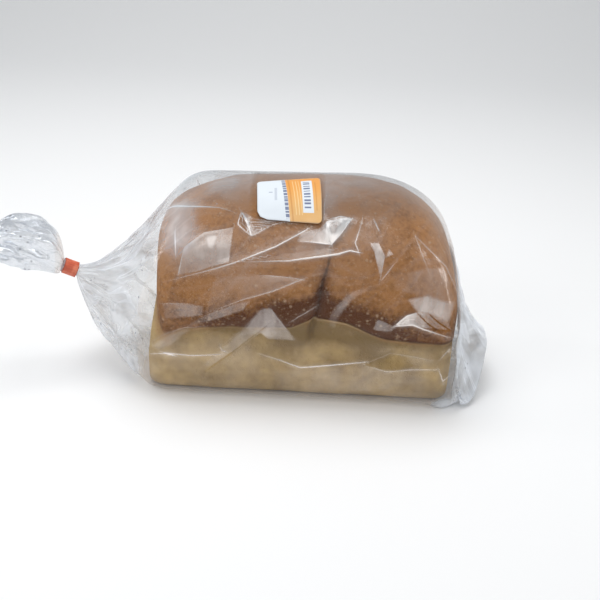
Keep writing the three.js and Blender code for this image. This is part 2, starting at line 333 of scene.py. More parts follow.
FOLDS_B = {
    "hook": (0.6, 4, (0.8, 0.15), ((39, 92), (36, 99), (40, 114), (41, 121))),
    "tent middle": (0.9, 4, (0.7, 1.1), ((13, 114), (14, 108), (18, 97))),
    "tent foot": (0.5, 4, (0.1, 0.9), ((-9, 98), (3, 98), (18, 97))),
    "tent top": (0.4, 4, (0.45, 0.5), ((14, 116), (24, 119), (33, 118))),
    "shoulder left": (0.6, 4, (0.2, 0.9), ((-120, 118), (-107, 121), (-95, 121))),
    "label tuck": (0.6, 4, (0.9, 1.1), ((-53, 119), (-47, 110), (-44, 100))),
    "label tuck side": (0.3, 3, (0.5, 0.5), ((-53, 119), (-55, 109), (-44, 100))),
    "label tuck foot": (0.5, 4, (0.7, 0.1), ((-44, 100), (-34, 106), (-28, 110), (-16, 113))),
    "label pleat top": (0.3, 2, (0.4, 0.2), ((-48, 114), (-10, 111.6))),
    "label pleat middle": (0.3, 2, (0.5, 0.2), ((-46, 111), (-17, 111))),
    "label pleat foot": (0.3, 2, (0.4, 0.2), ((-45, 107.5), (-26, 109.4))),
    "left facet": (0.6, 4, (0.2, 0.35), ((-95, 89), (-80, 101), (-58, 106))),
    "left facet side": (0.5, 3, (0.6, 0.1), ((-99, 68), (-97, 78), (-95, 89))),
    "wedge foot": (0.9, 5, (0.6, 0.1), ((-2, 70), (-26, 59), (-47, 52), (-78, 39))),
    "low patch": (0.4, 4, (0.25, 0.2), ((-111, 45), (-94, 46))),
    "right spur": (0.4, 3, (0.35, 0.45), ((67, 85), (58, 72))),
    "short v": (0.5, 4, (0.45, 0.1), ((82, 107), (87, 95), (96, 76))),
    "crinkle shadow": (0.7, 3, (-0.5, -0.5), ((87, 49), (96, 41), (107, 34))),
    "crinkle second shadow": (0.6, 3, (-0.4, -0.5), ((98, 47), (106, 41), (115, 36))),
    "low tent crease": (0.6, 5, (0.15, 0.1), ((-36, 43), (-48, 28), (-65, 13))),
    "left corner": (0.8, 5, (0.2, 0.15), ((-120, 14), (-109, 21), (-95, 27), (-78, 29))),
    "low tent shade": (0.6, 5, (-0.35, -0.1), ((-29, 32), (-51, 13), (-80, -10))),
    "left glint": (0.3, 3, (1.0, 0.8), ((-110, 6), (-105, 5), (-101, 4))),
    "low tick": (0.3, 3, (0.3, 0.3), ((-66, 15), (-64, 10), (-59, 9))),
    "corner v": (0.7, 4, (0.45, 0.35), ((109, 4), (113, -5), (118, 0))),
    "low ridge": (0.9, 6, (0.12, 0.25), ((48, 5), (70, 15), (90, 13), (104, 11))),
    "corner tick": (0.4, 3, (0.35, 0.3), ((110, 13), (116, 20))),
}
# Patches of film with a painted highlight, or painted shade where the gleam is below 0, each as
# (gleam, softness of its edge, where it is brightest and how far that reaches, corners)
PATCHES_A = {
    "left facet": (
        0.4, 1.2, (-70, 90, 34), ((-99, 68), (-95, 89), (-80, 101), (-58, 106), (-60, 80), (-86, 71))
    ),
    "tent": (
        0.95, 1.2, (24, 106, 16), ((-9, 98), (-5, 105), (8, 109), (14, 115), (24, 118), (33, 118), (18, 97))
    ),
    "band": (0.2, 3, (18, 95, 24), ((-35, 82), (-25, 91), (-6, 96), (18, 96), (18, 90), (-13, 84))),
    "wedge": (0.2, 1.0, (-16, 68, 32), ((-70, 68), (-27, 71), (-4, 69), (-26, 59), (-47, 52), (-78, 39))),
    "low left": (0.2, 2, (-90, 43, 16), ((-111, 45), (-94, 46), (-79, 45), (-80, 37), (-110, 33))),
    "quad": (0.6, 1.2, (53, 90, 17), ((47, 100), (54, 100), (59, 90), (57, 73), (54, 83), (51, 93))),
    "low right": (
        0.56, 3, (97, 54, 20), ((80, 58), (94, 62), (105, 59), (117, 58), (113, 42), (101, 46), (87, 49))
    ),
    "label tuck": (
        0.4, 1.0, (-47, 108, 16), ((-53, 119), (-34, 113), (-10, 113), (-28, 110), (-34, 106), (-44, 100))
    ),
    "low tent": (
        0.34, 1.6, (-28, 26, 26),
        (
            (-34, 45), (-26, 46), (-6, 21), (-28, 21), (-34, 26), (-51, 12), (-73, -3), (-81, -5),
            (-66, 10), (-46, 29),
        ),
    ),
}
PATCHES_B = {
    "left corner": (
        0.2, 3, (-112, 15, 20), ((-120, 11), (-110, 18), (-95, 26), (-90, 25), (-105, 12), (-115, 7))
    ),
    "left gleam": (0.24, 1.5, (-75, 98, 9), ((-78, 99), (-70, 99), (-73, 88), (-77, 91))),
    "tent shade": (-0.4, 3, (20, 110, 12), ((15, 114), (24, 116), (22, 106), (17, 104))),
    "pale panel": (
        0.17, 2.5, (101, 74, 26), ((67, 76), (93, 83), (106, 84), (114, 67), (117, 57), (93, 61), (69, 65))
    ),
    "low strip": (
        0.2, 1.5, (-60, 42, 22), ((-54, 48), (-42, 51), (-48, 43), (-66, 36), (-96, 26), (-76, 39))
    ),
    "spur": (0.4, 1.2, (63, 92, 7), ((60, 89), (62, 96), (66, 92))),
    "triangle": (0.24, 1.5, (62, 37, 12), ((57, 41), (59, 41), (73, 36), (68, 32), (55, 33))),
    "drape": (
        0.2, 3, (31, 54, 14),
        ((46, 66), (47, 63), (36, 55), (30, 47), (26, 40), (25, 33), (20, 33), (20, 42), (25, 50), (33, 60)),
    ),
    "crinkle": (
        0.6, 1.2, (80, 42, 18),
        ((71, 37), (80, 46), (89, 49), (101, 46), (113, 42), (116, 36), (94, 37), (81, 39)),
    ),
    "lens": (-0.06, 2.5, (70, 9, 90), ((48, 4), (57, 11), (71, 16), (83, 13), (90, 6), (71, 0))),
    "pale foot": (0.08, 4, (50, -6, 70), ((-22, -4), (50, 4), (84, 1), (104, -4), (60, -18), (-20, -18))),
}


def clamp01(t):
    return np.clip(t, 0.0, 1.0)


def smooth(t):
    t = clamp01(t)
    return t * t * (3 - 2 * t)


def rises(t, start, run):
    """From 0 at the start to 1 past the run."""
    return smooth((t - start) / run)


def falls(t, end, run):
    """From 1 before the run to 0 at the end."""
    return smooth((end - t) / run)


def mix(a, b, t):
    return a + (b - a) * t


def bell(distance, width):
    return np.exp(-((distance / width) ** 2))


def points_of(x, y, z):
    return np.stack(np.broadcast_arrays(x, y, z), axis=-1).astype(float)


# Film's outer form

def crown_height(x):
    left = clamp01((CROWN_X - x) / (CROWN_X - SHOULDER_X))
    right = clamp01((x - CROWN_X) / (LOAF_LENGTH / 2 + 1 - CROWN_X))
    rounded = (1 - right**RIGHT_ROUND_EXPONENT) ** (1 / RIGHT_ROUND_EXPONENT)
    return mix(SECTION_MID_Z, LOAF_HEIGHT - SHOULDER_DROP * left, rounded)


def half_width(x):
    into = clamp01((np.abs(x) - (LOAF_LENGTH / 2 - END_ROUNDING)) / END_ROUNDING)
    return (LOAF_WIDTH / 2) * (1 - END_NARROWING * into**2)


def section_point(angle, wide, high_above):
    """Distance out from the section's middle, for a dome above it and a box below."""
    c, s = np.cos(angle), np.sin(angle)
    above = s >= 0
    high = np.where(above, high_above, SECTION_MID_Z + BASE_FLATTENING)
    n = np.where(above, DOME_EXPONENT, BASE_EXPONENT)
    return ((np.abs(c) / wide) ** n + (np.abs(s) / high) ** n) ** (-1 / n)


def film_dips(x, z):
    """How far the film sinks in under the dome's lip and along the seam between the lobes."""
    span = (SEAM_HIGH_Z - SEAM_LOW_Z) / 2
    seam = smooth((z - SEAM_LOW_Z) / span + 0.5) * smooth((SEAM_HIGH_Z - z) / span + 0.5)
    return OVERHANG_DIP * bell(z - TIN_DEPTH, DIP_WIDTH) + SEAM_DIP * bell(x - LOBE_SEAM_X, DIP_WIDTH) * seam


def sideways(angle):
    c = np.cos(angle)
    return np.sign(c) * smooth(2 * np.abs(c) - 0.4)


def body_point(x, angle):
    """The film round the loaf. The angle is 0 at the back, a quarter turn at the crown."""
    high = crown_height(x) + FILM_CLEARANCE - SECTION_MID_Z
    r = section_point(angle, half_width(x) + FILM_CLEARANCE, high)
    z = np.maximum(0, SECTION_MID_Z + r * np.sin(angle))
    crease = CREASE_OUT * clamp01(1 - np.abs(z - CREASE_Z) / CREASE_REACH)
    skirt = SKIRT_OUT * rises(x, SKIRT_X, SKIRT_RUN) * clamp01(1 - z / SKIRT_HEIGHT) ** 2
    y = r * np.cos(angle) + sideways(angle) * (crease + skirt - film_dips(x, z))
    return points_of(x, y, z)


def left_end(angle):
    return mix(-LOAF_LENGTH / 2 - 1, SHOULDER_X, smooth(np.sin(angle)))


def right_end(angle):
    return mix(LOAF_LENGTH / 2, DOME_END_X, smooth(np.sin(angle)))


ALONG = np.array((
    -math.cos(NECK_PITCH) * math.cos(NECK_YAW),
    -math.cos(NECK_PITCH) * math.sin(NECK_YAW),
    math.sin(NECK_PITCH),
))
BACK = -np.cross((0, 0, 1), ALONG)
BACK /= np.linalg.norm(BACK)
UP = np.cross(BACK, ALONG)


def pleat(angle):
    return np.cos(PLEATS * angle + PLEAT_UNEVENNESS * np.sin(3 * angle))


def neck_radius(angle):
    return NECK_RADIUS + PLEAT_DEPTH * pleat(angle)


def round_neck(angle, r, distance):
    """A point round the neck's axis, some way along it."""
    r, c, s = r[..., None], np.cos(angle)[..., None], np.sin(angle)[..., None]
    return NECK + ALONG * distance[..., None] + BACK * r * c + UP * r * s


def neck_point(distance, angle):
    return round_neck(angle, neck_radius(angle), distance)


def cone_point(t, angle):
    """The film between the loaf's left end and the neck: taut and hollow above, slack below."""
    start = body_point(left_end(angle), angle)
    end = neck_point(np.zeros_like(angle), angle)
    power = mix(CONE_BELLY_POWER, CONE_TOP_POWER, smooth((np.sin(angle) + 1) / 2))
    folds = 1 + CONE_PLEAT * smooth(1.25 * t) * (1 - t) * pleat(angle)
    share = (1 - t) ** power * folds
    y = end[..., 1] + (start[..., 1] - end[..., 1]) * share
    z = end[..., 2] + (start[..., 2] - end[..., 2]) * share
    return points_of(mix(start[..., 0], end[..., 0], t), y, z)


def tail_point(t, angle):
    """The loose film past the tape: it puffs out at once and draws in to a mouth."""
    level = np.array((-math.cos(NECK_YAW), -math.sin(NECK_YAW), 0))
    start = neck_radius(angle) * (1 - smooth(2.2 * t))
    puff = TAIL_PUFF * np.sin(np.pi * np.sqrt(t)) ** 0.8
    wave = np.cos(TAIL_FOLDS * angle + TAIL_FOLD_UNEVENNESS * np.sin(2 * angle) + 2 * t)
    spread = (puff + MOUTH_SHARE * smooth(1.6 * t)) * (1 + TAIL_FOLD_DEPTH * smooth(3 * t) * wave)
    rise = TAIL_RISE * np.sin(TAIL_RISE_TURN * np.pi * np.sqrt(t))
    c, s = np.cos(angle), np.sin(angle)
    p = NECK + ALONG * NECK_RUN + level * (TAIL_LENGTH * t)[..., None]
    p = p + BACK * (c * (start + TAIL_HALF_DEPTH * spread))[..., None]
    p = p + UP * (s * start)[..., None]
    p[..., 2] += rise + s * TAIL_HALF_HEIGHT * spread
    return p


def gathered_share(angle):
    turned = np.abs(np.cos(angle))
    return turned ** mix(1, 1 - SEAL_GATHER, turned)


def seal_point(angle):
    gathered = gathered_share(angle)
    lift = smooth(SEAL_ARCH * (1 - gathered))
    from_ear = np.arcsin(np.minimum(1, np.abs(np.sin(angle))))
    return points_of(
        SEAL_X + SEAL_BOW * (1 - gathered**2) - EAR_ROUNDING * bell(from_ear, EAR_ROUNDING_TURN),
        SEAL_HALF_WIDTH * gathered * np.sign(np.cos(angle)),
        mix(EAR_Z, SEAL_MID_Z, lift) + np.sign(np.sin(angle)) * SEAL_THICKNESS * np.sqrt(lift) / 2,
    )


def end_point(t, angle):
    """The film past the loaf: it hugs the loaf's end, then runs out to the weld."""
    start = body_point(right_end(angle), angle)
    end = seal_point(angle)
    bulge = 1 + EAR_BULGE * gathered_share(angle) ** 2
    hug = np.where(start[..., 2] > end[..., 2], HUG_DOWN, HUG_UP)
    bend = points_of(
        mix(start[..., 0], end[..., 0], HUG_ALONG),
        mix(start[..., 1], end[..., 1], HUG_ACROSS) * bulge,
        mix(start[..., 2], end[..., 2], hug),
    )
    t = t[..., None]
    return start * (1 - t) ** 2 + bend * 2 * t * (1 - t) + end * t**2


# Grids of points

def columns_round(count, front_weight):
    """Angles round the section, from under the loaf and back to it, closer together at the front.

    Returns the angles and how far each lies along the section in mm."""
    angle = np.linspace(*ALL_ROUND, FINE_STEPS)
    ring = body_point(np.zeros_like(angle), angle)
    step = np.linalg.norm(np.diff(ring, axis=0), axis=1)
    middle = (angle[1:] + angle[:-1]) / 2
    front = rises(middle, 0.3 * math.pi, 0.5) * falls(middle, 1.32 * math.pi, 0.3)
    weighed = np.concatenate(([0], np.cumsum(step * mix(1, front_weight, front))))
    girth = np.concatenate(([0], np.cumsum(step)))
    even = np.linspace(0, weighed[-1], count)
    return np.interp(even, weighed, angle), np.interp(even, weighed, girth)


def rounded_shoulder(points, shoulder):
    """Rounds the corner where the film leaves the loaf, fully at the crown and not near the table."""
    first, last = shoulder - SHOULDER_TO_CONE, shoulder + SHOULDER_TO_BODY
    for _ in range(SHOULDER_PASSES):
        part = points[first : last + 1]
        between = (points[first - 1 : last] + points[first + 1 : last + 2]) / 2
        share = smooth(part[..., 2] / SECTION_MID_Z - 0.5)[..., None] / 2
        points[first : last + 1] = mix(part, between, share)
    return points


def grid_normals(points):
    """Outward normals of a closed grid whose first and last columns meet."""
    along = np.gradient(points, axis=0)
    around = np.empty_like(points)
    around[:, 1:-1] = points[:, 2:] - points[:, :-2]
    around[:, 0] = around[:, -1] = points[:, 1] - points[:, -2]
    normals = np.cross(around, along)
    length = np.linalg.norm(normals, axis=-1, keepdims=True)
    return normals / np.maximum(length, 1e-9)


def facets(u, v, cell, seed):
    """Flat random triangles that meet along sharp edges, from 0 to 1."""
    table = np.random.default_rng(seed).random((FACET_TABLE, FACET_TABLE))
    v = v + 0.35 * cell * np.sin(u / cell * 1.7 + seed)
    u = u + 0.35 * cell * np.sin(v / cell * 1.3 + 2 * seed)
    a, b = u / cell + 0.5 * v / cell, v / cell
    i, j = np.floor(a).astype(int), np.floor(b).astype(int)
    a, b = a - i, b - j

    def corner(di, dj):
        return table[(i + di) % FACET_TABLE, (j + dj) % FACET_TABLE]

    lower = corner(0, 0) * (1 - a - b) + corner(1, 0) * a + corner(0, 1) * b
    upper = corner(1, 1) * (a + b - 1) + corner(1, 0) * (1 - b) + corner(0, 1) * (1 - a)
    return np.where(a + b < 1, lower, upper)


def distance_along(points, x, q):
    """Signed distance to an open line, and how far along it the nearest point is, from 0 to 1."""
    best = np.full(x.shape, float(FAR))
    share = np.zeros(x.shape)
    starts = np.array(points[:-1], float)
    runs = np.array(points[1:], float) - starts
    lengths = np.linalg.norm(runs, axis=1)
    before = 0.0
    for (sx, sq), (rx, rq), length in zip(starts, runs, lengths):
        dx, dq = x - sx, q - sq
        t = clamp01((dx * rx + dq * rq) / length**2)
        away = np.hypot(dx - rx * t, dq - rq * t)
        side = np.where(rx * dq - rq * dx < 0, -1.0, 1.0)
        nearer = away < np.abs(best)
        best = np.where(nearer, away * side, best)
        share = np.where(nearer, (before + length * t) / lengths.sum(), share)
        before += length
    return best, share


def depth_inside(corners, x, q):
    """Signed distance to a closed outline, above 0 inside it."""
    away, _ = distance_along(corners + corners[:1], x, q)
    inside = np.zeros(x.shape, bool)
    for (ax, aq), (bx, bq) in zip(corners, corners[1:] + corners[:1]):
        crosses = (aq > q) != (bq > q)
        rise = bq - aq if bq != aq else 1e-9
        inside ^= crosses & (x < ax + (bx - ax) * (q - aq) / rise)
    return np.where(inside, np.abs(away), -np.abs(away))


def pressed_folds(folds, x, q, seen):
    """Lift of the film, distance to the nearest fold and its painted gleam there."""
    lift = np.zeros(x.shape)
    nearest = np.full(x.shape, float(FAR))
    gleam = np.zeros(x.shape)
    for height, width, (first_shine, last_shine), points in folds.values():
        away, share = distance_along(points, x, q)
        taper = np.sin(np.pi * clamp01(share * 0.9 + 0.05)) ** 0.5
        slope = clamp01(1 - np.abs(away) / width) * taper * seen
        lift = np.maximum(lift, height * slope)
        here = np.abs(away) < np.abs(nearest)
        nearest = np.where(here, away, nearest)
        shine = mix(first_shine, last_shine, share) * taper * seen * (np.abs(away) < FOLD_GLEAM_REACH)
        gleam = np.where(here, shine, gleam)
    return lift, nearest, gleam


def painted_gleam_patches(patches, x, q, seen):
    """Depth inside the nearest patch, in widths of its soft edge, and its painted gleam."""
    nearest = np.full(x.shape, -float(FAR))
    gleam = np.zeros(x.shape)
    for shine, softness, (bright_x, bright_q, reach), corners in patches.values():
        depth = depth_inside(corners, x, q) / softness
        here = depth > nearest
        nearest = np.where(here, depth, nearest)
        share = mix(PATCH_RIM, 1, bell(np.hypot(x - bright_x, q - bright_q), reach))
        gleam = np.where(here, shine * share * seen, gleam)
    return nearest, gleam * (nearest > -PATCH_GLEAM_REACH)


# Meshes

def smooth_sheet(name, points, fields, closed=True):
    """One smooth mesh from a grid of points in mm, with fields of three values a point."""
    rings, columns = points.shape[:2]
    mesh = bpy.data.meshes.new(name)
    bm = bmesh.new()
    bmesh.ops.create_grid(bm, x_segments=columns - 1, y_segments=rings - 1, size=1)
    bm.to_mesh(mesh)
    bm.free()
    if len(mesh.vertices) != rings * columns:
        raise RuntimeError(f"{name}: the grid has {len(mesh.vertices)} points, not {rings * columns}")
    mesh.vertices.foreach_set("co", (points * MM).astype(np.float32).ravel())
    for field, values in fields.items():
        add_field(mesh, field, values)
    if closed:
        bm = bmesh.new()
        bm.from_mesh(mesh)
        bmesh.ops.remove_doubles(bm, verts=bm.verts, dist=SAME_POINT)
        bmesh.ops.recalc_face_normals(bm, faces=bm.faces)
        bm.to_mesh(mesh)
        bm.free()
    mesh.shade_smooth()
    return new_piece(name, mesh)


def add_field(mesh, name, values):
    layer = mesh.attributes.new(name, "FLOAT_VECTOR", "POINT")
    layer.data.foreach_set("vector", np.stack(values, axis=-1).astype(np.float32).ravel())


def new_piece(name, mesh):
    piece = bpy.data.objects.new(name, mesh)
    bpy.context.scene.collection.objects.link(piece)
    return piece


def dress(piece, slot, material, *nodes):
    """Gives a piece its finish, its place in the frame and the CAD nodes that it stands for."""
    piece.data.materials.clear()
    piece.data.materials.append(material)
    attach(piece, "root")
    if nodes:
        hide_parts(*nodes)


# Materials

class Value:
    """A number that varies over a surface, and adds Math nodes when it is used in an expression."""

    def __init__(self, recipe, socket):
        self.recipe = recipe
        self.socket = socket

    def math(self, operation, *values):
        node = self.recipe.node("ShaderNodeMath", {"operation": operation}, dict(enumerate(values)))
        return Value(self.recipe, node.outputs[0])

    def __add__(self, other):
        return self.math("ADD", self, other)

    __radd__ = __add__

    def __sub__(self, other):
        return self.math("SUBTRACT", self, other)

    def __rsub__(self, other):
        return self.math("SUBTRACT", other, self)

    def __mul__(self, other):
        return self.math("MULTIPLY", self, other)

    __rmul__ = __mul__

    def __truediv__(self, other):
        return self.math("DIVIDE", self, other)

    def __rtruediv__(self, other):
        return self.math("DIVIDE", other, self)

    def __pow__(self, other):
        return self.math("POWER", self, other)

    def __abs__(self):
        return self.math("ABSOLUTE", self)

    def limited(self):
        return self.math("MINIMUM", self.math("MAXIMUM", self, 0.0), 1.0)

    def above(self, low, high):
        """0 below the low value, 1 above the high one and smooth between them."""
        settings = {"interpolation_type": "SMOOTHSTEP"}
        node = self.recipe.node("ShaderNodeMapRange", settings, {0: self, 1: low, 2: high})
        return Value(self.recipe, node.outputs[0])

    def band(self, low, high, soft):
        return self.above(low - soft, low + soft) * (1 - self.above(high - soft, high + soft))


class Recipe:
    """A material and the one method that makes its nodes."""

    def __init__(self, name):
        self.material = bpy.data.materials.new(name)
        self.material.use_nodes = True
        self.tree = self.material.node_tree
        self.tree.nodes.clear()

    def node(self, kind, settings=None, inputs=None):
        node = self.tree.nodes.new(kind)
        for key, setting in (settings or {}).items():
            if key == "stops":
                ramp = node.color_ramp
                while len(ramp.elements) < len(setting):
                    ramp.elements.new(1.0)
                for element, (place, colour) in zip(ramp.elements, setting):
                    element.position = place
                    element.color = (*colour, 1)
            else:
                setattr(node, key, setting)
        for key, value in (inputs or {}).items():
            if isinstance(value, Value):
                value = value.socket
            if isinstance(value, bpy.types.NodeSocket):
                self.tree.links.new(value, node.inputs[key])
            else:
                if node.inputs[key].type == "RGBA":
                    value = (*value, 1)
                node.inputs[key].default_value = value
        return node

    def value(self, kind, output, settings=None, inputs=None):
        return Value(self, self.node(kind, settings, inputs).outputs[output])

    def object_coords(self):
        return self.node("ShaderNodeTexCoord").outputs["Object"]

    def field(self, name):
        """The three values of a point field."""
        vector = self.node("ShaderNodeAttribute", {"attribute_name": name}).outputs["Vector"]
        split = self.node("ShaderNodeSeparateXYZ", None, {0: vector})
        return [Value(self, out) for out in split.outputs]

    def noise(self, coords, scale, detail=3.0, roughness=0.55):
        inputs = {"Vector": coords, "Scale": scale, "Detail": detail, "Roughness": roughness}
        return self.value("ShaderNodeTexNoise", 0, None, inputs)

    def cells(self, coords, scale):
        return self.value("ShaderNodeTexVoronoi", 0, None, {"Vector": coords, "Scale": scale})

    def stretched(self, coords, scale):
        return self.node("ShaderNodeMapping", None, {"Vector": coords, "Scale": scale}).outputs[0]

    def ramp(self, place, *stops):
        return self.node("ShaderNodeValToRGB", {"stops": stops}, {0: place}).outputs[0]

    def blended(self, share, first, second):
        """Colours mixed by a share."""
        inputs = {0: share, 6: first, 7: second}
        return self.node("ShaderNodeMix", {"data_type": "RGBA"}, inputs).outputs[2]

    def bump(self, height, strength, distance):
        inputs = {"Height": height, "Strength": strength, "Distance": distance}
        return self.node("ShaderNodeBump", None, inputs).outputs[0]

    def principled(self, inputs):
        return self.node("ShaderNodeBsdfPrincipled", None, inputs).outputs[0]

    def finish(self, shader):
        self.node("ShaderNodeOutputMaterial", None, {"Surface": shader})
        return self.material


def bread_material(settings):
    """Baked crust above and pale crumb-coloured sides below, with blisters and pores, with shade painted low
    on the dome, in the seam and under the lip, and a painted highlight on the tin's edge.
    """
    r = Recipe("baked_bread")
    coords = r.object_coords()
    # The second and third values are painted shade: low on the dome, in the seam, and on the pale sides
    # under the lip
    baked, shade, pale_shade = r.field("bake")
    # Painted lines: a dark shade line along the lip less a highlight on the tin's edge below it, a shade
    # line in the seam, and the crown's own tone
    lip, seam_shade_line, crown = r.field("marks")
    mottle = r.noise(coords, 34, 6, 0.62)
    grain = r.noise(coords, 260, 4, 0.7)
    edge = baked + (r.noise(coords, 60, 3) - 0.5) * 1.2
    brown = edge.above(-0.5, 0.5)
    # The ramp's place is the crust's own toast, darkened by the painted shade
    toast_and_painted_shade = (mottle * 0.34 + grain * 0.42 + 0.13 - shade * 0.5).limited()
    crust = r.ramp(toast_and_painted_shade, (0.28, settings.dark_crust), (0.52, settings.crust), (0.8, settings.light_crust))
    blister_pick = r.noise(coords, 40, 1)
    blisters = (1 - r.cells(coords, 150).above(0.10, 0.26)) * blister_pick.above(0.46, 0.56)
    blisters = blisters + (1 - r.cells(coords, 280).above(0.12, 0.28)) * 0.6
    rings = r.cells(coords, 170).band(0.24, 0.34, 0.05) * r.noise(coords, 23, 1).above(0.66, 0.70)
    spots = (blisters + rings * 0.8).limited()
    crust = r.blended(spots * settings.blisters, crust, settings.blister_colour)
    freckle = 1 - r.cells(coords, 240).above(0.08, 0.2)
    dark_pick = r.noise(coords, 70, 2).above(0.58, 0.66)
    crust = r.blended(freckle * dark_pick * 0.45, crust, settings.dark_crust)
    side_mottle = r.noise(coords, 38, 5, 0.6)
    # Painted shade under the dome's lip darkens the pale sides towards their shade colour
    side = r.ramp(side_mottle - pale_shade * 0.3, (0.3, settings.side_shade), (0.62, settings.side))
    stain = edge.above(-2.4, -0.3) * side_mottle.above(0.34, 0.6)
    side = r.blended(stain * 0.45, side, settings.crust)
    pores = (1 - r.cells(coords, 420).above(0.1, 0.34)) * r.noise(coords, 130, 2).above(0.45, 0.6)
    side = r.blended(pores * 0.35, side, settings.side_shade)
    colour = r.blended(brown, side, crust)
    # Painted shade along the lip and in the seam between the lobes
    painted_crease_shade = (lip.limited() * 0.8 + seam_shade_line * 0.62).limited() * (0.6 + mottle * 0.6)
    colour = r.blended(painted_crease_shade.limited(), colour, settings.crease_shade)
    # Painted highlight along the tin's edge just below the lip
    colour = r.blended((0 - lip).limited() * 0.6, colour, TIN_EDGE_HIGHLIGHT)
    colour = r.blended(crown * 0.55, colour, settings.crown_crust)
    height = mottle * 0.5 + grain * 0.25 + spots * 0.5 - pores * (1 - brown) * 0.6
    shader = r.principled({
        "Base Color": colour,
        "Roughness": 0.66 - brown * 0.08 + grain * 0.12,
        "Normal": r.bump(height, 0.5, 0.0012),
        "Specular IOR Level": 0.12,
        "Subsurface Weight": 0.05,
        "Subsurface Radius": (0.006, 0.003, 0.0015),
    })
    return r.finish(shader)


def fold_whitening_and_highlight(distance, gleam):
    """A thin line with a soft glow beside it, wider where it gleams more: film whitened at a fold, with a
    painted highlight on it.
    """
    core = (1 - abs(distance) / (abs(gleam) * 0.55 + 0.4)).limited()
    glow = (1 - abs(distance) / 4.5).limited()
    return (core + glow * glow * 0.22) * gleam


def film_material(name, settings, haze_base, crumple, metal):
    """Clear film: see-through, glossy, whiter along its folds and where it turns edge-on, with highlights
    painted along the folds, on patches and on facets, and its sheen painted warm over the bread and grey
    over the crown.
    """
    r = Recipe(name)
    coords = r.object_coords()
    fold_a, gleam_a, haze = r.field("folds_a")
    fold_b, gleam_b, facet = r.field("folds_b")
    patch_a, shine_a, small_facet = r.field("patches_a")
    patch_b, shine_b, lit = r.field("patches_b")
    wobble = (r.noise(coords, 160, 2) - 0.5) * 1.2
    # Fold lines: film whitened at each fold, with a painted highlight
    fold_white_and_highlight_a = fold_whitening_and_highlight(fold_a + wobble * 0.3, gleam_a)
    fold_white_and_highlight_b = fold_whitening_and_highlight(fold_b + wobble * 0.3, gleam_b)
    streaks = r.noise(r.stretched(coords, (1.0, 1.0, 0.22)), 110, 4, 0.65).above(0.3, 0.75)
    # Painted highlights on patches, and painted shade where their gleam is below 0
    painted_patch_light_and_shade = (patch_a + wobble * 0.5).above(-0.5, 0.7) * shine_a * (0.7 + streaks * 0.6)
    painted_patch_light_and_shade = painted_patch_light_and_shade + (patch_b + wobble * 0.5).above(-0.5, 0.7) * shine_b * (0.7 + streaks * 0.6)
    # Painted sheen and glints along the edges of the film's facets
    painted_facet_sheen = facet.band(0.62, 0.75, 0.012) * 0.5 + small_facet.band(0.66, 0.8, 0.02) * 0.5
    painted_facet_glint = (1 - abs(small_facet - 0.48) / 0.012).limited() * r.noise(coords, 45, 2).above(0.5, 0.62)
    edge_on = r.value("ShaderNodeLayerWeight", 1, None, {"Blend": 0.5}) ** 2.2
    cloud = r.noise(coords, 30, 2, 0.5).above(0.36, 0.68)
    loose = haze.above(0.13, 0.18)
    specks = (1 - r.cells(coords, 190).above(0.14, 0.22)) * r.noise(coords, 55, 1).above(0.55, 0.59) * loose
    share = haze_base * settings.haze + haze * (0.5 + cloud * 1.1) + painted_patch_light_and_shade + painted_facet_sheen * lit
    share = share + (fold_white_and_highlight_a + fold_white_and_highlight_b) * settings.gleam + painted_facet_glint * lit + specks * 0.5
    # Painted reflection: film higher up gleams more where it turns edge-on, and its sheen turns grey
    high = r.value("ShaderNodeSeparateXYZ", 2, None, {0: coords}).above(0.135, 0.165)
    share = share + edge_on * (0.42 - loose * 0.08 + high * 0.34)
    fine = r.noise(coords, 240, 3) * 0.6 + r.noise(coords, 75, 2) * 1.6
    height = fine * crumple + (fold_white_and_highlight_a + fold_white_and_highlight_b) * 0.3
    # The sheen's tint is painted: warm over the bread, cool on loose film, grey over the crown
    sheen = r.blended(loose, settings.warm_sheen, settings.sheen_colour)
    sheen = r.blended(high * 0.85, sheen, settings.crown_sheen)
    sheen = r.blended(specks * 0.8, sheen, SPECK_COLOUR)
    gloss = r.principled({
        "Base Color": sheen,
        "Metallic": 0.45 - loose * (0.45 - metal),
        "Roughness": 0.18,
        "Normal": r.bump(height, 0.5, 0.0010),
    })
    clear = r.node("ShaderNodeBsdfTransparent", None, {"Color": settings.clear_colour}).outputs[0]
    blend = r.node("ShaderNodeMixShader", None, {0: share.limited(), 1: clear, 2: gloss})
    return r.finish(blend.outputs[0])


def tape_material(settings):
    """Red adhesive tape, creased across, paler where it is stretched."""
    r = Recipe("red_tape_creased")
    coords = r.object_coords()
    across, _, _ = r.field("tape")
    creases = r.noise(coords, 420, 3)
    wave = r.noise(coords, 150, 2)
    colour = r.blended(wave.above(0.4, 0.68), settings.tape, settings.tape_light)
    colour = r.blended((1 - across.band(0.04, 0.96, 0.03)) * 0.5, colour, settings.tape_dark)
    shader = r.principled({
        "Base Color": colour,
        "Roughness": 0.32 + creases * 0.25,
        "Normal": r.bump(creases + wave, 0.6, 0.0007),
    })
    return r.finish(shader)


def uneven_wave(v, first, second, share):
    """Two waves down the label, which together give uneven rows."""
    return v.math("SINE", v * first) + v.math("SINE", v * second) * share


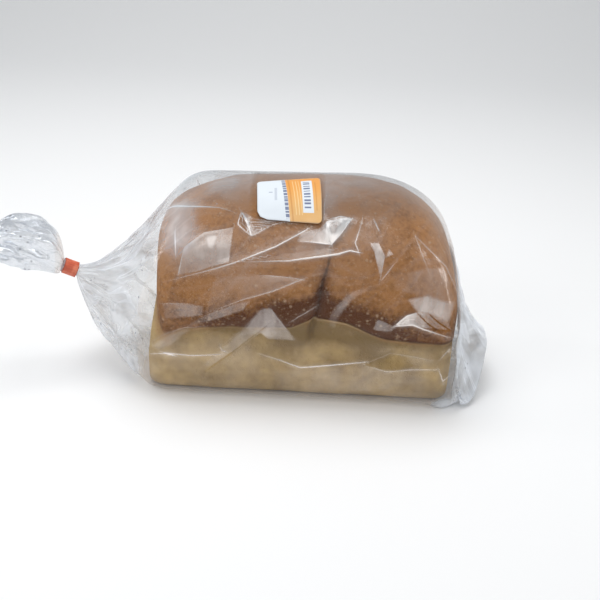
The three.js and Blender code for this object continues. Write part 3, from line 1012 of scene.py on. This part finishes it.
def label_material(settings):
    """Coated paper: a white field, a dark band of blocks, a warm field with lines and a striped box."""
    r = Recipe("label_print")
    u, v, edge = r.field("print")  # mm from the label's left edge and from its top edge
    coords = r.object_coords()
    slant, upright = u - v * PRINT_SLANT, u - v * BOX_SLANT
    warm = r.blended(v.above(*FIELD_DOWN), settings.field_top, settings.field)
    colour = r.blended(slant.above(*FIELD_EDGE), settings.paper, warm)
    lines = sum(slant.band(*line, 0.15) for line in FIELD_LINES) * v.band(*FIELD_DOWN, 0.3)
    colour = r.blended(lines * 0.6, colour, settings.field_light)
    colour = r.blended(slant.band(*FIELD_DARK_LINE, 0.2) * 0.5, colour, settings.field_dark)
    rows = uneven_wave(v, 1.7, 2.9, 0.8).above(-0.75, -0.45)
    blocks = slant.band(*BLOCKS, 0.15) * v.band(*BLOCKS_DOWN, 0.3) * rows
    colour = r.blended(blocks * 0.8, colour, settings.ink)
    colour = r.blended(upright.band(*BOX, 0.15) * v.band(*BOX_DOWN, 0.2), colour, settings.paper)
    stripes = uneven_wave(v, 1.9, 0.83, 0.6).above(-0.05, 0.2)
    stripes = stripes * upright.band(*STRIPES, 0.1) * v.band(*STRIPES_DOWN, 0.1)
    colour = r.blended(stripes * 0.85, colour, settings.ink)
    note = upright.band(*NOTE, 0.2) * v.band(*NOTE_DOWN, 0.3)
    colour = r.blended(note * 0.5, colour, settings.field_dark)
    dashes = u.band(*DASH, 0.3) * v.band(*DASH_DOWN, 0.2)
    dashes = dashes + u.band(*PALE_DASH, 0.3) * v.band(*PALE_DASH_DOWN, 0.4) * 0.5
    colour = r.blended(dashes.limited() * 0.5, colour, settings.ink)
    dirt = r.noise(coords, 90, 3)
    # Greyer towards the label's edges, with a faint uneven smudge
    colour = r.blended(edge * 0.35 + dirt * 0.04, colour, EDGE_AND_SMUDGE_GREY)
    shader = r.principled({
        "Base Color": colour,
        "Roughness": 0.3 + dirt * 0.15,
        "Normal": r.bump(dirt, 0.12, 0.0006),
        "Coat Weight": 0.3,
        "Coat Roughness": 0.12,
    })
    return r.finish(shader)


def floor_material(settings):
    r = Recipe("pale_floor")
    return r.finish(r.principled({"Base Color": settings.floor, "Roughness": 0.9}))


# Settings

def colour_property(name, description, default):
    return FloatVectorProperty(
        name=name, description=description, default=default, subtype="COLOR", size=3, min=0, max=1
    )


def length_property(name, description, default, most):
    return FloatProperty(
        name=name, description=description, default=default, min=0, max=most, unit="LENGTH",
        subtype="DISTANCE",
    )


def share_property(name, description, default, most):
    return FloatProperty(
        name=name, description=description, default=default, min=0, max=most, subtype="FACTOR"
    )


def power_property(name, description, default, most):
    return FloatProperty(
        name=name, description=description, default=default, min=0, max=most, unit="POWER"
    )


class LoafSettings(bpy.types.PropertyGroup):
    crust: colour_property("Crust", "Colour of the baked dome", (0.470, 0.216, 0.074))
    dark_crust: colour_property("Dark crust", "Darkest mottling of the dome", (0.115, 0.036, 0.008))
    light_crust: colour_property("Light crust", "Lightest mottling of the dome", (0.540, 0.275, 0.115))
    crown_crust: colour_property("Crown", "Colour of the very top of the dome", (0.210, 0.115, 0.065))
    # Colour of the shade painted along the lip and in the seam
    crease_shade: colour_property("Deep crust", "Colour along the lip and in the seam", (0.055, 0.020, 0.010))
    blister_colour: colour_property("Blisters", "Colour of the small pale blisters", (0.62, 0.42, 0.26))
    side: colour_property("Sides", "Colour of the pale tin-baked sides", (0.62, 0.43, 0.195))
    # Side shade is the darker mottling of the pale sides, and also the colour of the shade painted under the
    # dome's lip
    side_shade: colour_property("Side shade", "Darker mottling of the pale sides", (0.30, 0.195, 0.08))
    blisters: share_property("Blister strength", "How clearly the blisters show", 0.5, 1)
    seam_depth: length_property("Seam depth", "Depth of the valley between the two lobes", 0.008, 0.02)


class FilmSettings(bpy.types.PropertyGroup):
    clear_colour: colour_property("Clear tint", "What one layer of film lets through", (0.92, 0.925, 0.93))
    sheen_colour: colour_property("Sheen", "Colour of loose film where it catches light", (0.86, 0.89, 0.94))
    # Painted warm tint of the taut film's sheen over the bread
    warm_sheen: colour_property(
        "Sheen on the bread", "Colour of taut film that catches light", (0.92, 0.845, 0.80)
    )
    # Painted grey reflection on the film over the crown
    crown_sheen: colour_property("Sheen on the crown", "Colour of the film over the top", (0.43, 0.47, 0.50))
    haze: share_property("Haze", "Whiteness of the flat film", 0.02, 0.5)
    # Strength of the highlight painted along the pressed folds
    gleam: share_property("Gleam", "How strongly pressed folds catch the light", 1.15, 2)
    wrinkle: length_property("Wrinkles", "Height of the loose wrinkles over the loaf", 0.0008, 0.004)
    crumple: length_property("Crumple", "Height of the crumpled film at the bag's ends", 0.0030, 0.008)


class TapeSettings(bpy.types.PropertyGroup):
    tape: colour_property("Tape", "Colour of the tape", (0.62, 0.115, 0.055))
    tape_light: colour_property("Stretched tape", "Colour where the tape is stretched", (0.78, 0.22, 0.12))
    tape_dark: colour_property("Tape edge", "Colour of the tape's cut edges", (0.32, 0.05, 0.03))


class LabelSettings(bpy.types.PropertyGroup):
    paper: colour_property("Paper", "Colour of the white paper", (0.74, 0.79, 0.84))
    field: colour_property("Field", "Colour of the warm field", (0.76, 0.44, 0.16))
    field_top: colour_property("Field's top", "Colour of the warm field at its top", (0.80, 0.33, 0.045))
    field_light: colour_property("Field lines", "Pale lines in the warm field", (0.92, 0.74, 0.42))
    field_dark: colour_property("Field shade", "Darker line in the warm field", (0.55, 0.20, 0.03))
    ink: colour_property("Ink", "Colour of the dark print", (0.05, 0.075, 0.20))


class StageSettings(bpy.types.PropertyGroup):
    floor: colour_property("Floor", "Colour of the floor and backdrop", (0.93, 0.93, 0.93))
    key_power: power_property("Key light", "Power of the large light above", 8.4, 500)
    side_power: power_property("Side lights", "Power of the light at the front left", 2.0, 200)
    sky: share_property("Surround", "Strength of the even light all round", 0.42, 3)


# Pieces

def soft_line(x, places, heights, softness):
    """A line through a few places, with its corners rounded."""
    offsets = np.linspace(-2, 2, 17)
    weights = np.exp(-(offsets**2))
    near = [np.interp(x + softness * offset, places, heights) * w for offset, w in zip(offsets, weights)]
    return sum(near) / weights.sum()


def off_seam(x, z):
    """How far to the right of the seam between the lobes."""
    return x - LOBE_SEAM_X - SEAM_LEAN * (z - SEAM_MID_Z) - SEAM_WAVE * np.sin(z / 6)


def bake_line(x):
    """Height of the dome's lower edge."""
    return soft_line(x, BAKE_LINE_X, BAKE_LINE_Z, BAKE_SOFTNESS)


def loaf_point(x, angle, seam_depth):
    """The bread's own surface, with its lip, the valley between its lobes and gentle lumps."""
    crown = soft_line(x, CROWN_LINE_X, CROWN_LINE_Z, CROWN_SOFTNESS)
    r = section_point(angle, half_width(x), crown - SECTION_MID_Z)
    z = np.maximum(LOAF_FOOT, SECTION_MID_Z + r * np.sin(angle))
    inset = LIP_INSET * falls(z, bake_line(x) + 2, LIP_RISE)
    depth = falls(z, *VALLEY_TOP) * rises(z, *VALLEY_FOOT)
    from_seam = off_seam(x, z)
    valley = seam_depth * depth * (0.55 * bell(from_seam, 2.2) + 0.45 * bell(from_seam, 9))
    lumps = LUMP_BIG * np.sin(x / 19 + 1.3) * np.sin(angle * 5 + x / 37)
    lumps = lumps + LUMP_SMALL * np.sin(x / 9.5 + 2 * angle)
    lumps = np.minimum(lumps * rises(z, *LUMP_FOOT) - LUMP_SINK, LUMP_LIMIT)
    soft = SIDE_WAVE * np.sin(x / 13 + z / 9) * falls(z, *SIDE_WAVE_TOP)
    y = r * np.cos(angle) - sideways(angle) * (film_dips(x, z) + inset + valley - lumps - soft)
    dome_back = DOME_LEAN * rises(z, *DOME_FOOT) * (1 - 0.6 * rises(z, *DOME_TOP))
    at_left = dome_back - FOOT_OUT * falls(z, *PALE_FOOT)
    at_right = RIGHT_OUT * bell(z - RIGHT_OUT_Z, RIGHT_OUT_REACH) - RIGHT_BACK * rises(z, *RIGHT_TOP)
    x = x + falls(x, *LEFT_END) * at_left + rises(x, *RIGHT_END) * at_right
    return points_of(x, y, z)


def loaf_grid(seam_depth):
    """The bread from its left end face to its right one, as rings of points."""
    angles, _ = columns_round(LOAF_COLUMNS, LOAF_FRONT_WEIGHT)
    half = LOAF_LENGTH / 2

    def ring_at(x):
        return loaf_point(np.full(LOAF_COLUMNS, x), angles, seam_depth)

    def end(side, trim=0):
        made = []
        for phi in np.linspace(0, math.pi / 2, LOAF_END_RINGS)[1:]:
            x = side * (half - trim - END_RADIUS + END_RADIUS * math.sin(phi))
            made.append(shrunk(ring_at(x), END_RADIUS * (1 - math.cos(phi))))
        last = made[-1]
        middle = last.mean(axis=0)
        for share in np.linspace(1, 0, LOAF_END_RINGS)[1:]:
            ring = middle + (last - middle) * share
            ring[:, 0] += side * END_FACE_BULGE * (1 - share**2)
            made.append(ring)
        return made

    body = np.linspace(-half + END_RADIUS, half - END_RADIUS - RIGHT_TRIM, LOAF_RINGS)
    return np.array(end(-1)[::-1] + [ring_at(x) for x in body] + end(1, RIGHT_TRIM))


def shrunk(ring, inset):
    """A ring drawn in towards the section's middle, less so round the pale sides."""
    middle = np.array((ring[:, 0].mean(), 0, SECTION_MID_Z))
    away = ring - middle
    away[:, 0] = 0
    length = np.linalg.norm(away, axis=1, keepdims=True)
    share = mix(PALE_SHRINK, 1, rises(ring[:, 2:], 45, 30))
    moved = ring - away * (inset * share / length)
    moved[:, 2] = np.maximum(moved[:, 2], LOAF_FOOT)
    return moved


def make_loaf(settings):
    points = loaf_grid(settings.seam_depth / MM)
    x, z = points[..., 0], points[..., 2]
    above_line = z - bake_line(x)
    edge = mix(BAKE_EDGE, BAKE_EDGE_LEFT, falls(x, -84, 24))
    baked = np.clip(above_line / edge, -BAKE_LIMIT, BAKE_LIMIT)
    from_seam = off_seam(x, z)
    # Painted shade in and beside the seam between the lobes, and low on the dome
    seam = SEAM_SHADE * bell(from_seam, 5) * falls(z, 134, 40)
    seam = seam + LOBE_SHADE * bell(from_seam, 26) * falls(z, 106, 34)
    low = falls(z, 104, 40) * mix(LOW_SHADE_FAR, 1, bell(x - 12, 66))
    shade = clamp01(low + seam) * smooth(baked + 1)
    # Painted shade on the pale sides under the dome's lip and along its edge, lessened near the foot
    pale_shade = UNDER_LIP_SHADE * bell(above_line + 11, 12) * bell(x - 22, 40)
    pale_shade = pale_shade + LIP_EDGE_SHADE * bell(above_line + 3, 5) - FOOT_LIGHT * bell(z - 10, 14)
    # Painted lines: a dark shade line along the lip, a thin shade line in the seam, and a highlight on the
    # tin's edge just below the lip
    lip = bell(above_line - 0.6, 1.5) * mix(LIP_LINE_LEFT, 1, rises(x, -12, 30))
    seam_shade_line = bell(from_seam, 1.0) * falls(z, 142, 16) * rises(z, 70, 25)
    rim = bell(above_line + 2.8, 1.1) * bell(x - 24, 26)
    fields = {
        "bake": (baked, shade, clamp01(pale_shade) * smooth(1 - baked)),
        "marks": (lip - rim, seam_shade_line, rises(z, 146, 18)),
    }
    loaf = smooth_sheet("loaf", points, fields)
    dress(loaf, "bread", bread_material(settings), "bag")


def film_grid():
    """The whole bag from the neck to the weld, and what part of the bag each ring is."""
    angles, girth = columns_round(FILM_COLUMNS, FILM_FRONT_WEIGHT)

    def rings(shares, point):
        return [point(np.full(FILM_COLUMNS, share), angles) for share in shares]

    neck = rings(np.linspace(NECK_RUN, 0, NECK_RINGS), neck_point)
    cone = rings(np.linspace(CONE_END, 0, CONE_RINGS), cone_point)
    body = rings(
        np.linspace(0, 1, BODY_RINGS + 1)[1:],
        lambda t, a: body_point(mix(left_end(a), right_end(a), t), a),
    )
    end = rings(np.linspace(0, 1, END_RINGS + 1)[1:], end_point)
    points = np.array(neck + cone + body + end)
    shoulder = NECK_RINGS + CONE_RINGS - 1
    rounded_shoulder(points, shoulder)
    ring = np.arange(len(points))[:, None]
    to_neck = clamp01((shoulder - ring) / (CONE_RINGS - 1.0))
    to_weld = clamp01((ring - shoulder - BODY_RINGS) / float(END_RINGS))
    step = np.linalg.norm(np.diff(points, axis=0), axis=-1).mean(axis=1)
    along = np.concatenate(([0], np.cumsum(step)))[:, None]
    parts = (angles, along, girth, to_neck, to_weld)
    return points, *(np.broadcast_to(part, points.shape[:2]) for part in parts)


def under_label(x, angle):
    """1 under the label and 0 well outside it."""
    beside = falls(np.abs(x - LABEL_X), LABEL_LENGTH / 2 + 5, 5)
    before = falls(angle, LABEL_BOTTOM_LEFT + 0.1, 0.08)
    return beside * before * smooth((angle - LABEL_TOP_RIGHT + 0.2) / 0.15)


def film_veil(x, z):
    """Whiteness of the film that lies on the bread."""
    low = LOW_VEIL * falls(z, 64, 10) * (1 - 0.6 * bell(x - 20, 40) * rises(z, 30, 15))
    high = HIGH_VEIL * rises(z, 96, 50) * mix(1, 0.3, rises(x, 40, 30))
    crown = CROWN_VEIL * rises(z, 150, 14) * falls(x, 60, 60)
    shoulder = SHOULDER_VEIL * bell(x + 106, 18) * rises(z, 104, 30)
    return low + high + crown + shoulder


def make_film(settings):
    points, angle, u, v, to_neck, to_weld = film_grid()
    x, z = points[..., 0], points[..., 2]
    front = angle > CREASED_FRONT
    across = np.where(front, points[..., 1], -points[..., 1])
    q = z * math.cos(VIEW_TILT) + across * math.sin(VIEW_TILT)
    q = np.where(front, q, q + BACK_DRIFT * np.sin(x / 43))
    along_folds = np.where(front, x, x + BACK_DRIFT * np.sin(x / 31 + 1))
    creased = (front | (angle < CREASED_BACK)) & (to_neck < FOLDS_TO_NECK) & (to_weld < FOLDS_TO_WELD)
    seen = creased.astype(float)
    bare = 1 - under_label(x, angle)
    on_body = (1 - smooth(to_neck * 6)) * (1 - smooth(to_weld * 6))
    # Painted highlights along the folds and on patches, and painted shade where their gleam is below 0
    lift_a, near_a, gleam_a = pressed_folds(FOLDS_A, along_folds, q, seen * bare)
    lift_b, near_b, gleam_b = pressed_folds(FOLDS_B, along_folds, q, seen)
    patch_a, shine_a = painted_gleam_patches(PATCHES_A, along_folds, q, seen * bare)
    patch_b, shine_b = painted_gleam_patches(PATCHES_B, along_folds, q, seen * bare)
    ends = np.maximum(smooth(4 * to_neck) * NECK_HAZE, smooth(9 * to_weld) * WELD_HAZE)
    on_table = TABLE_HAZE * rises(x, 104, 14) * falls(z, 14, 10)
    haze = ends + (on_table + film_veil(x, z)) * on_body * bare
    # Share of the sheen painted on the film's facets
    lit = BODY_FACETS * rises(z, 70, 50) * on_body
    lit = lit + END_FACETS * smooth(3 * to_neck) + END_FACETS * smooth(2 * to_weld)
    wide, close, tiny = (facets(u, v, cell, seed) for cell, seed in FILM_FACETS)
    fields = {
        "folds_a": (near_a, gleam_a, haze),
        "folds_b": (near_b, gleam_b, wide),
        "patches_a": (patch_a, shine_a, close),
        "patches_b": (patch_b, shine_b, lit * bare),
    }
    crumple = settings.crumple / MM
    wrinkles = mix(WRINKLE_HIGH, WRINKLE_LOW, falls(z, 60, 12))
    body_lift = (wide + 0.45 * close) * (settings.wrinkle / MM) * wrinkles
    body_lift = body_lift + np.maximum(lift_a, lift_b)
    gathered = smooth(4 * to_neck) * (1 - to_neck) ** 0.6
    spread_out = smooth(5 * to_weld) * (1 - rises(to_weld, 0.8, 0.2) * 0.7)
    folded = (wide - 0.5) * 1.6 + (close - 0.5) * 1.7 + (tiny - 0.5) * 0.8
    rough = folded * crumple * (gathered + WELD_CRUMPLE * spread_out)
    slack = NECK_SLACK * gathered + WELD_SLACK * spread_out * (1 - to_weld)
    lift = (body_lift * on_body * bare + slack + rough) * smooth(z / 8)
    points = points + grid_normals(points) * lift[..., None]
    points[..., 2] = np.maximum(points[..., 2], FILM_FOOT)
    points[:, -1] = points[:, 0]
    film = smooth_sheet("bag_film", points, fields)
    finish = film_material("clear_film_creased", settings, haze_base=1.0, crumple=0.36, metal=0.06)
    dress(film, "clear_film", finish, "bag")


def make_tail(settings):
    angle = np.linspace(*ALL_ROUND, TAIL_COLUMNS)
    t = np.linspace(0, 1, TAIL_RINGS) ** 1.15
    angle, t = np.meshgrid(angle, t)
    points = tail_point(t, angle)
    turned = angle + math.pi / 2
    u, v = t * TAIL_LENGTH, turned * TAIL_GIRTH_STEP
    wide, close, tiny = (facets(u, v, cell, seed) for cell, seed in TAIL_FACETS)
    window = smooth(turned * 3) * smooth((3 * math.pi / 2 - angle) * 3)
    folded = (wide - 0.42) * 2.3 + (close - 0.5) * 1.3 + (tiny - 0.5) * 0.25
    lift = folded * (settings.crumple / MM) * smooth(3 * t) * window * (1.15 - 0.45 * t)
    points = points - grid_normals(points) * lift[..., None]
    points[:, -1] = points[:, 0]
    none = np.zeros_like(t)
    far = none + FAR
    # The tail's facets carry a painted sheen
    fields = {
        "folds_a": (far, none, TAIL_HAZE + TAIL_HAZE_MORE * smooth(4 * t)),
        "folds_b": (far, none, wide),
        "patches_a": (-far, none, close),
        "patches_b": (-far, none, none + TAIL_FACET_GLEAM),
    }
    tail = smooth_sheet("bag_tail", points, fields)
    finish = film_material("clear_film_crumpled", settings, haze_base=1.2, crumple=0.6, metal=0.7)
    dress(tail, "clear_film", finish, "bag")


def make_tape(settings):
    """A strip of tape wound a little more than once round the neck, its outer end standing off."""
    across = np.linspace(0, 1, TAPE_ROWS)
    turn = np.linspace(0, TAPE_TURNS * 2 * math.pi, TAPE_COLUMNS)
    across, turn = np.meshgrid(across, turn, indexing="ij")
    over = turn / (2 * math.pi)
    inner = NECK_RADIUS + PLEAT_DEPTH + BAND_GAP
    r = inner + 0.1 + TAPE_STEP * over + TAPE_LIFT * smooth((over - 1.2) * 6)
    r = r + 0.22 * np.cos(9 * turn + 2 * across) * (0.4 + np.abs(across - 0.5)) + 0.12 * np.sin(21 * turn)
    skew = 0.5 * np.sin(turn * 0.5) + 0.35 * (over - 0.6)
    along = NECK_RUN / 2 + BAND_WIDTH * (across - 0.5) * 0.97 + skew * 0.8
    points = round_neck(turn + TAPE_START, r, along)
    tape = smooth_sheet("tape_band", points, {"tape": (across, across, across)}, closed=False)
    wall = tape.modifiers.new("thickness", "SOLIDIFY")
    wall.thickness = TAPE_THICKNESS * MM
    wall.offset = 0
    dress(tape, "red_tape", tape_material(settings), "tie_band")


def label_point(across, down, lift):
    x = LABEL_X + LABEL_LENGTH * (across - 0.5) + LABEL_LEAN * down
    top = mix(LABEL_TOP_LEFT, LABEL_TOP_RIGHT, across)
    angle = mix(top, mix(LABEL_BOTTOM_LEFT, LABEL_BOTTOM_RIGHT, across), down)
    here = body_point(x, angle)
    along = body_point(x + 1, angle) - here
    round_ = body_point(x, angle + 0.01) - here
    normal = np.cross(round_, along)
    normal /= np.linalg.norm(normal, axis=-1, keepdims=True)
    return here + normal * lift[..., None]


def make_label(settings):
    bm = bmesh.new()
    bmesh.ops.create_grid(bm, x_segments=1, y_segments=1, size=0.5)
    bmesh.ops.scale(bm, vec=(LABEL_LENGTH, LABEL_HEIGHT, 1), verts=bm.verts)
    bmesh.ops.translate(bm, vec=(LABEL_LENGTH / 2, LABEL_HEIGHT / 2, 0), verts=bm.verts)
    front_left = [v for v in bm.verts if v.co.x < 1 and v.co.y > LABEL_HEIGHT - 1]
    bmesh.ops.bevel(
        bm, geom=front_left, offset=LABEL_CUT, affect="VERTICES", segments=2, profile=0.5, material=-1
    )
    sharp = [v for v in bm.verts if v.co.x > LABEL_LENGTH - 1 or v.co.y < 1]
    bmesh.ops.bevel(
        bm, geom=sharp, offset=LABEL_CORNER, affect="VERTICES", segments=5, profile=0.5, material=-1
    )
    for normal, reach in (((1, 0, 0), LABEL_LENGTH), ((0, 1, 0), LABEL_HEIGHT)):
        for cut in np.arange(LABEL_CELL, reach, LABEL_CELL):
            everything = bm.verts[:] + bm.edges[:] + bm.faces[:]
            place = Vector(normal) * float(cut)
            bmesh.ops.bisect_plane(bm, geom=everything, plane_co=place, plane_no=normal, dist=1e-5)
    mesh = bpy.data.meshes.new("label_sheet")
    bm.to_mesh(mesh)
    bm.free()
    flat = np.empty(len(mesh.vertices) * 3, np.float32)
    mesh.vertices.foreach_get("co", flat)
    flat = flat.reshape(-1, 3).astype(float)
    u, v = flat[:, 0], flat[:, 1]
    across, down = u / LABEL_LENGTH, v / LABEL_HEIGHT
    curl = 0.7 * rises(down, 0.86, 0.14) * (0.5 + 0.5 * np.cos(across * 5))
    ripple = 0.12 * np.sin(across * 17 + down * 5) * np.sin(down * 11)
    points = label_point(across, down, LABEL_LIFT + curl + ripple)
    mesh.vertices.foreach_set("co", (points * MM).astype(np.float32).ravel())
    rim = np.minimum(np.minimum(u, LABEL_LENGTH - u), np.minimum(v, LABEL_HEIGHT - v))
    add_field(mesh, "print", (u, v, 1 - smooth(rim / 1.2)))
    bm = bmesh.new()
    bm.from_mesh(mesh)
    bm.normal_update()
    if sum(face.normal.z for face in bm.faces) < 0:
        bmesh.ops.reverse_faces(bm, faces=bm.faces)
    bm.to_mesh(mesh)
    bm.free()
    mesh.shade_smooth()
    label = new_piece("label_sheet", mesh)
    wall = label.modifiers.new("thickness", "SOLIDIFY")
    wall.thickness = LABEL_THICKNESS * MM
    wall.offset = 1
    dress(label, "label_paper", label_material(settings), "label")


# Stage

def make_stage(settings):
    scene = bpy.context.scene
    scene.view_settings.view_transform = "Standard"
    scene.cycles.transparent_max_bounces = 24
    bm = bmesh.new()
    bmesh.ops.create_grid(bm, x_segments=8, y_segments=80, size=FLOOR_SIZE)
    for vert in bm.verts:
        past = vert.co.y - BACKDROP_START
        if past > 0:
            turn = min(past / BACKDROP_RADIUS, math.pi / 2)
            rise = max(past - BACKDROP_RADIUS * math.pi / 2, 0)
            vert.co.y = BACKDROP_START + BACKDROP_RADIUS * math.sin(turn)
            vert.co.z = BACKDROP_RADIUS * (1 - math.cos(turn)) + rise
    mesh = bpy.data.meshes.new("studio_floor")
    bm.to_mesh(mesh)
    bm.free()
    mesh.shade_smooth()
    floor = new_piece("studio_floor", mesh)
    floor.data.materials.append(floor_material(settings))
    key = add_light("key_above", *KEY_LIGHT, settings.key_power)
    key.visible_glossy = False
    for name, (*placing, share) in SIDE_LIGHTS.items():
        light = add_light(name, *placing, settings.side_power * share)
        light.visible_diffuse = name != "card_front"
    world = bpy.data.worlds.new("soft_surround")
    world.use_nodes = True
    background = world.node_tree.nodes["Background"]
    background.inputs["Color"].default_value = (*SKY_COLOUR, 1)
    background.inputs["Strength"].default_value = settings.sky
    scene.world = world
    add_camera()


def aimed(place, target):
    away = Vector(target) - Vector(place)
    turn = away.to_track_quat("-Z", "Y").to_matrix().to_4x4()
    return Matrix.Translation(place) @ turn


def add_light(name, place, target, width, depth, power):
    data = bpy.data.lights.new(name, "AREA")
    data.shape = "RECTANGLE"
    data.size, data.size_y = width, depth
    data.energy = power
    light = bpy.data.objects.new(name, data)
    light.matrix_world = aimed(place, target)
    bpy.context.scene.collection.objects.link(light)
    return light


def add_camera():
    data = bpy.data.cameras.new("photo_camera")
    data.sensor_width = SENSOR_WIDTH
    data.lens = data.sensor_width * FOCAL_PIXELS / IMAGE_PIXELS
    data.clip_start, data.clip_end = CAMERA_CLIP
    camera = bpy.data.objects.new("photo_camera", data)
    tilt, roll = math.radians(CAMERA_ELEVATION), math.radians(CAMERA_ROLL)
    back = Vector((0, -math.cos(tilt), math.sin(tilt)))
    right = Vector((1, 0, 0))
    up = back.cross(right)
    turned_right = right * math.cos(roll) + up * math.sin(roll)
    turned_up = up * math.cos(roll) - right * math.sin(roll)
    turn = Matrix((turned_right, turned_up, back)).transposed().to_4x4()
    place = (Vector(CAMERA_TARGET) + back * CAMERA_DISTANCE) * MM
    camera.matrix_world = Matrix.Translation(place) @ turn
    bpy.context.scene.collection.objects.link(camera)
    bpy.context.scene.camera = camera


# Operators and panel

class BAGGEDLOAF_OT_loaf(bpy.types.Operator):
    """Make the loaf of bread"""

    bl_idname = "bagged_loaf.loaf"
    bl_label = "Make Loaf"

    def execute(self, context):
        make_loaf(context.scene.bagged_loaf)
        return {"FINISHED"}


class BAGGEDLOAF_OT_bag(bpy.types.Operator):
    """Make the clear film bag round the loaf, and its loose tail"""

    bl_idname = "bagged_loaf.bag"
    bl_label = "Make Bag"

    def execute(self, context):
        make_film(context.scene.bagged_loaf_film)
        make_tail(context.scene.bagged_loaf_film)
        return {"FINISHED"}


class BAGGEDLOAF_OT_tape(bpy.types.Operator):
    """Wind the red tape round the neck of the bag"""

    bl_idname = "bagged_loaf.tape"
    bl_label = "Wind Tape"

    def execute(self, context):
        make_tape(context.scene.bagged_loaf_tape)
        return {"FINISHED"}


class BAGGEDLOAF_OT_label(bpy.types.Operator):
    """Lay the paper label on the dome"""

    bl_idname = "bagged_loaf.label"
    bl_label = "Lay Label"

    def execute(self, context):
        make_label(context.scene.bagged_loaf_label)
        return {"FINISHED"}


class BAGGEDLOAF_OT_stage(bpy.types.Operator):
    """Set up the floor, the lights and the camera"""

    bl_idname = "bagged_loaf.stage"
    bl_label = "Set Stage"

    def execute(self, context):
        make_stage(context.scene.bagged_loaf_stage)
        return {"FINISHED"}


class BAGGEDLOAF_PT_panel(bpy.types.Panel):
    """Lists the pieces of the bagged loaf and their settings"""

    bl_idname = "BAGGEDLOAF_PT_panel"
    bl_label = "Bagged Loaf"
    bl_space_type = "VIEW_3D"
    bl_region_type = "UI"
    bl_category = "Bagged Loaf"

    def draw(self, context):
        for operator, group in zip(OPERATORS, SETTINGS):
            box = self.layout.box()
            box.operator(operator.bl_idname)
            settings = getattr(context.scene, group)
            for name in SETTINGS[group].__annotations__:
                box.prop(settings, name)


OPERATORS = (
    BAGGEDLOAF_OT_loaf,
    BAGGEDLOAF_OT_bag,
    BAGGEDLOAF_OT_tape,
    BAGGEDLOAF_OT_label,
    BAGGEDLOAF_OT_stage,
)
SETTINGS = {
    "bagged_loaf": LoafSettings,
    "bagged_loaf_film": FilmSettings,
    "bagged_loaf_tape": TapeSettings,
    "bagged_loaf_label": LabelSettings,
    "bagged_loaf_stage": StageSettings,
}


def register():
    for group, settings in SETTINGS.items():
        bpy.utils.register_class(settings)
        setattr(bpy.types.Scene, group, PointerProperty(type=settings))
    for cls in OPERATORS + (BAGGEDLOAF_PT_panel,):
        bpy.utils.register_class(cls)


def unregister():
    for cls in (BAGGEDLOAF_PT_panel,) + OPERATORS[::-1]:
        bpy.utils.unregister_class(cls)
    for group, settings in SETTINGS.items():
        delattr(bpy.types.Scene, group)
        bpy.utils.unregister_class(settings)


def main():
    register()
    bpy.ops.bagged_loaf.loaf()
    bpy.ops.bagged_loaf.bag()
    bpy.ops.bagged_loaf.tape()
    bpy.ops.bagged_loaf.label()
    bpy.ops.bagged_loaf.stage()
    bpy.context.view_layer.update()


if __name__ == "__main__":
    main()
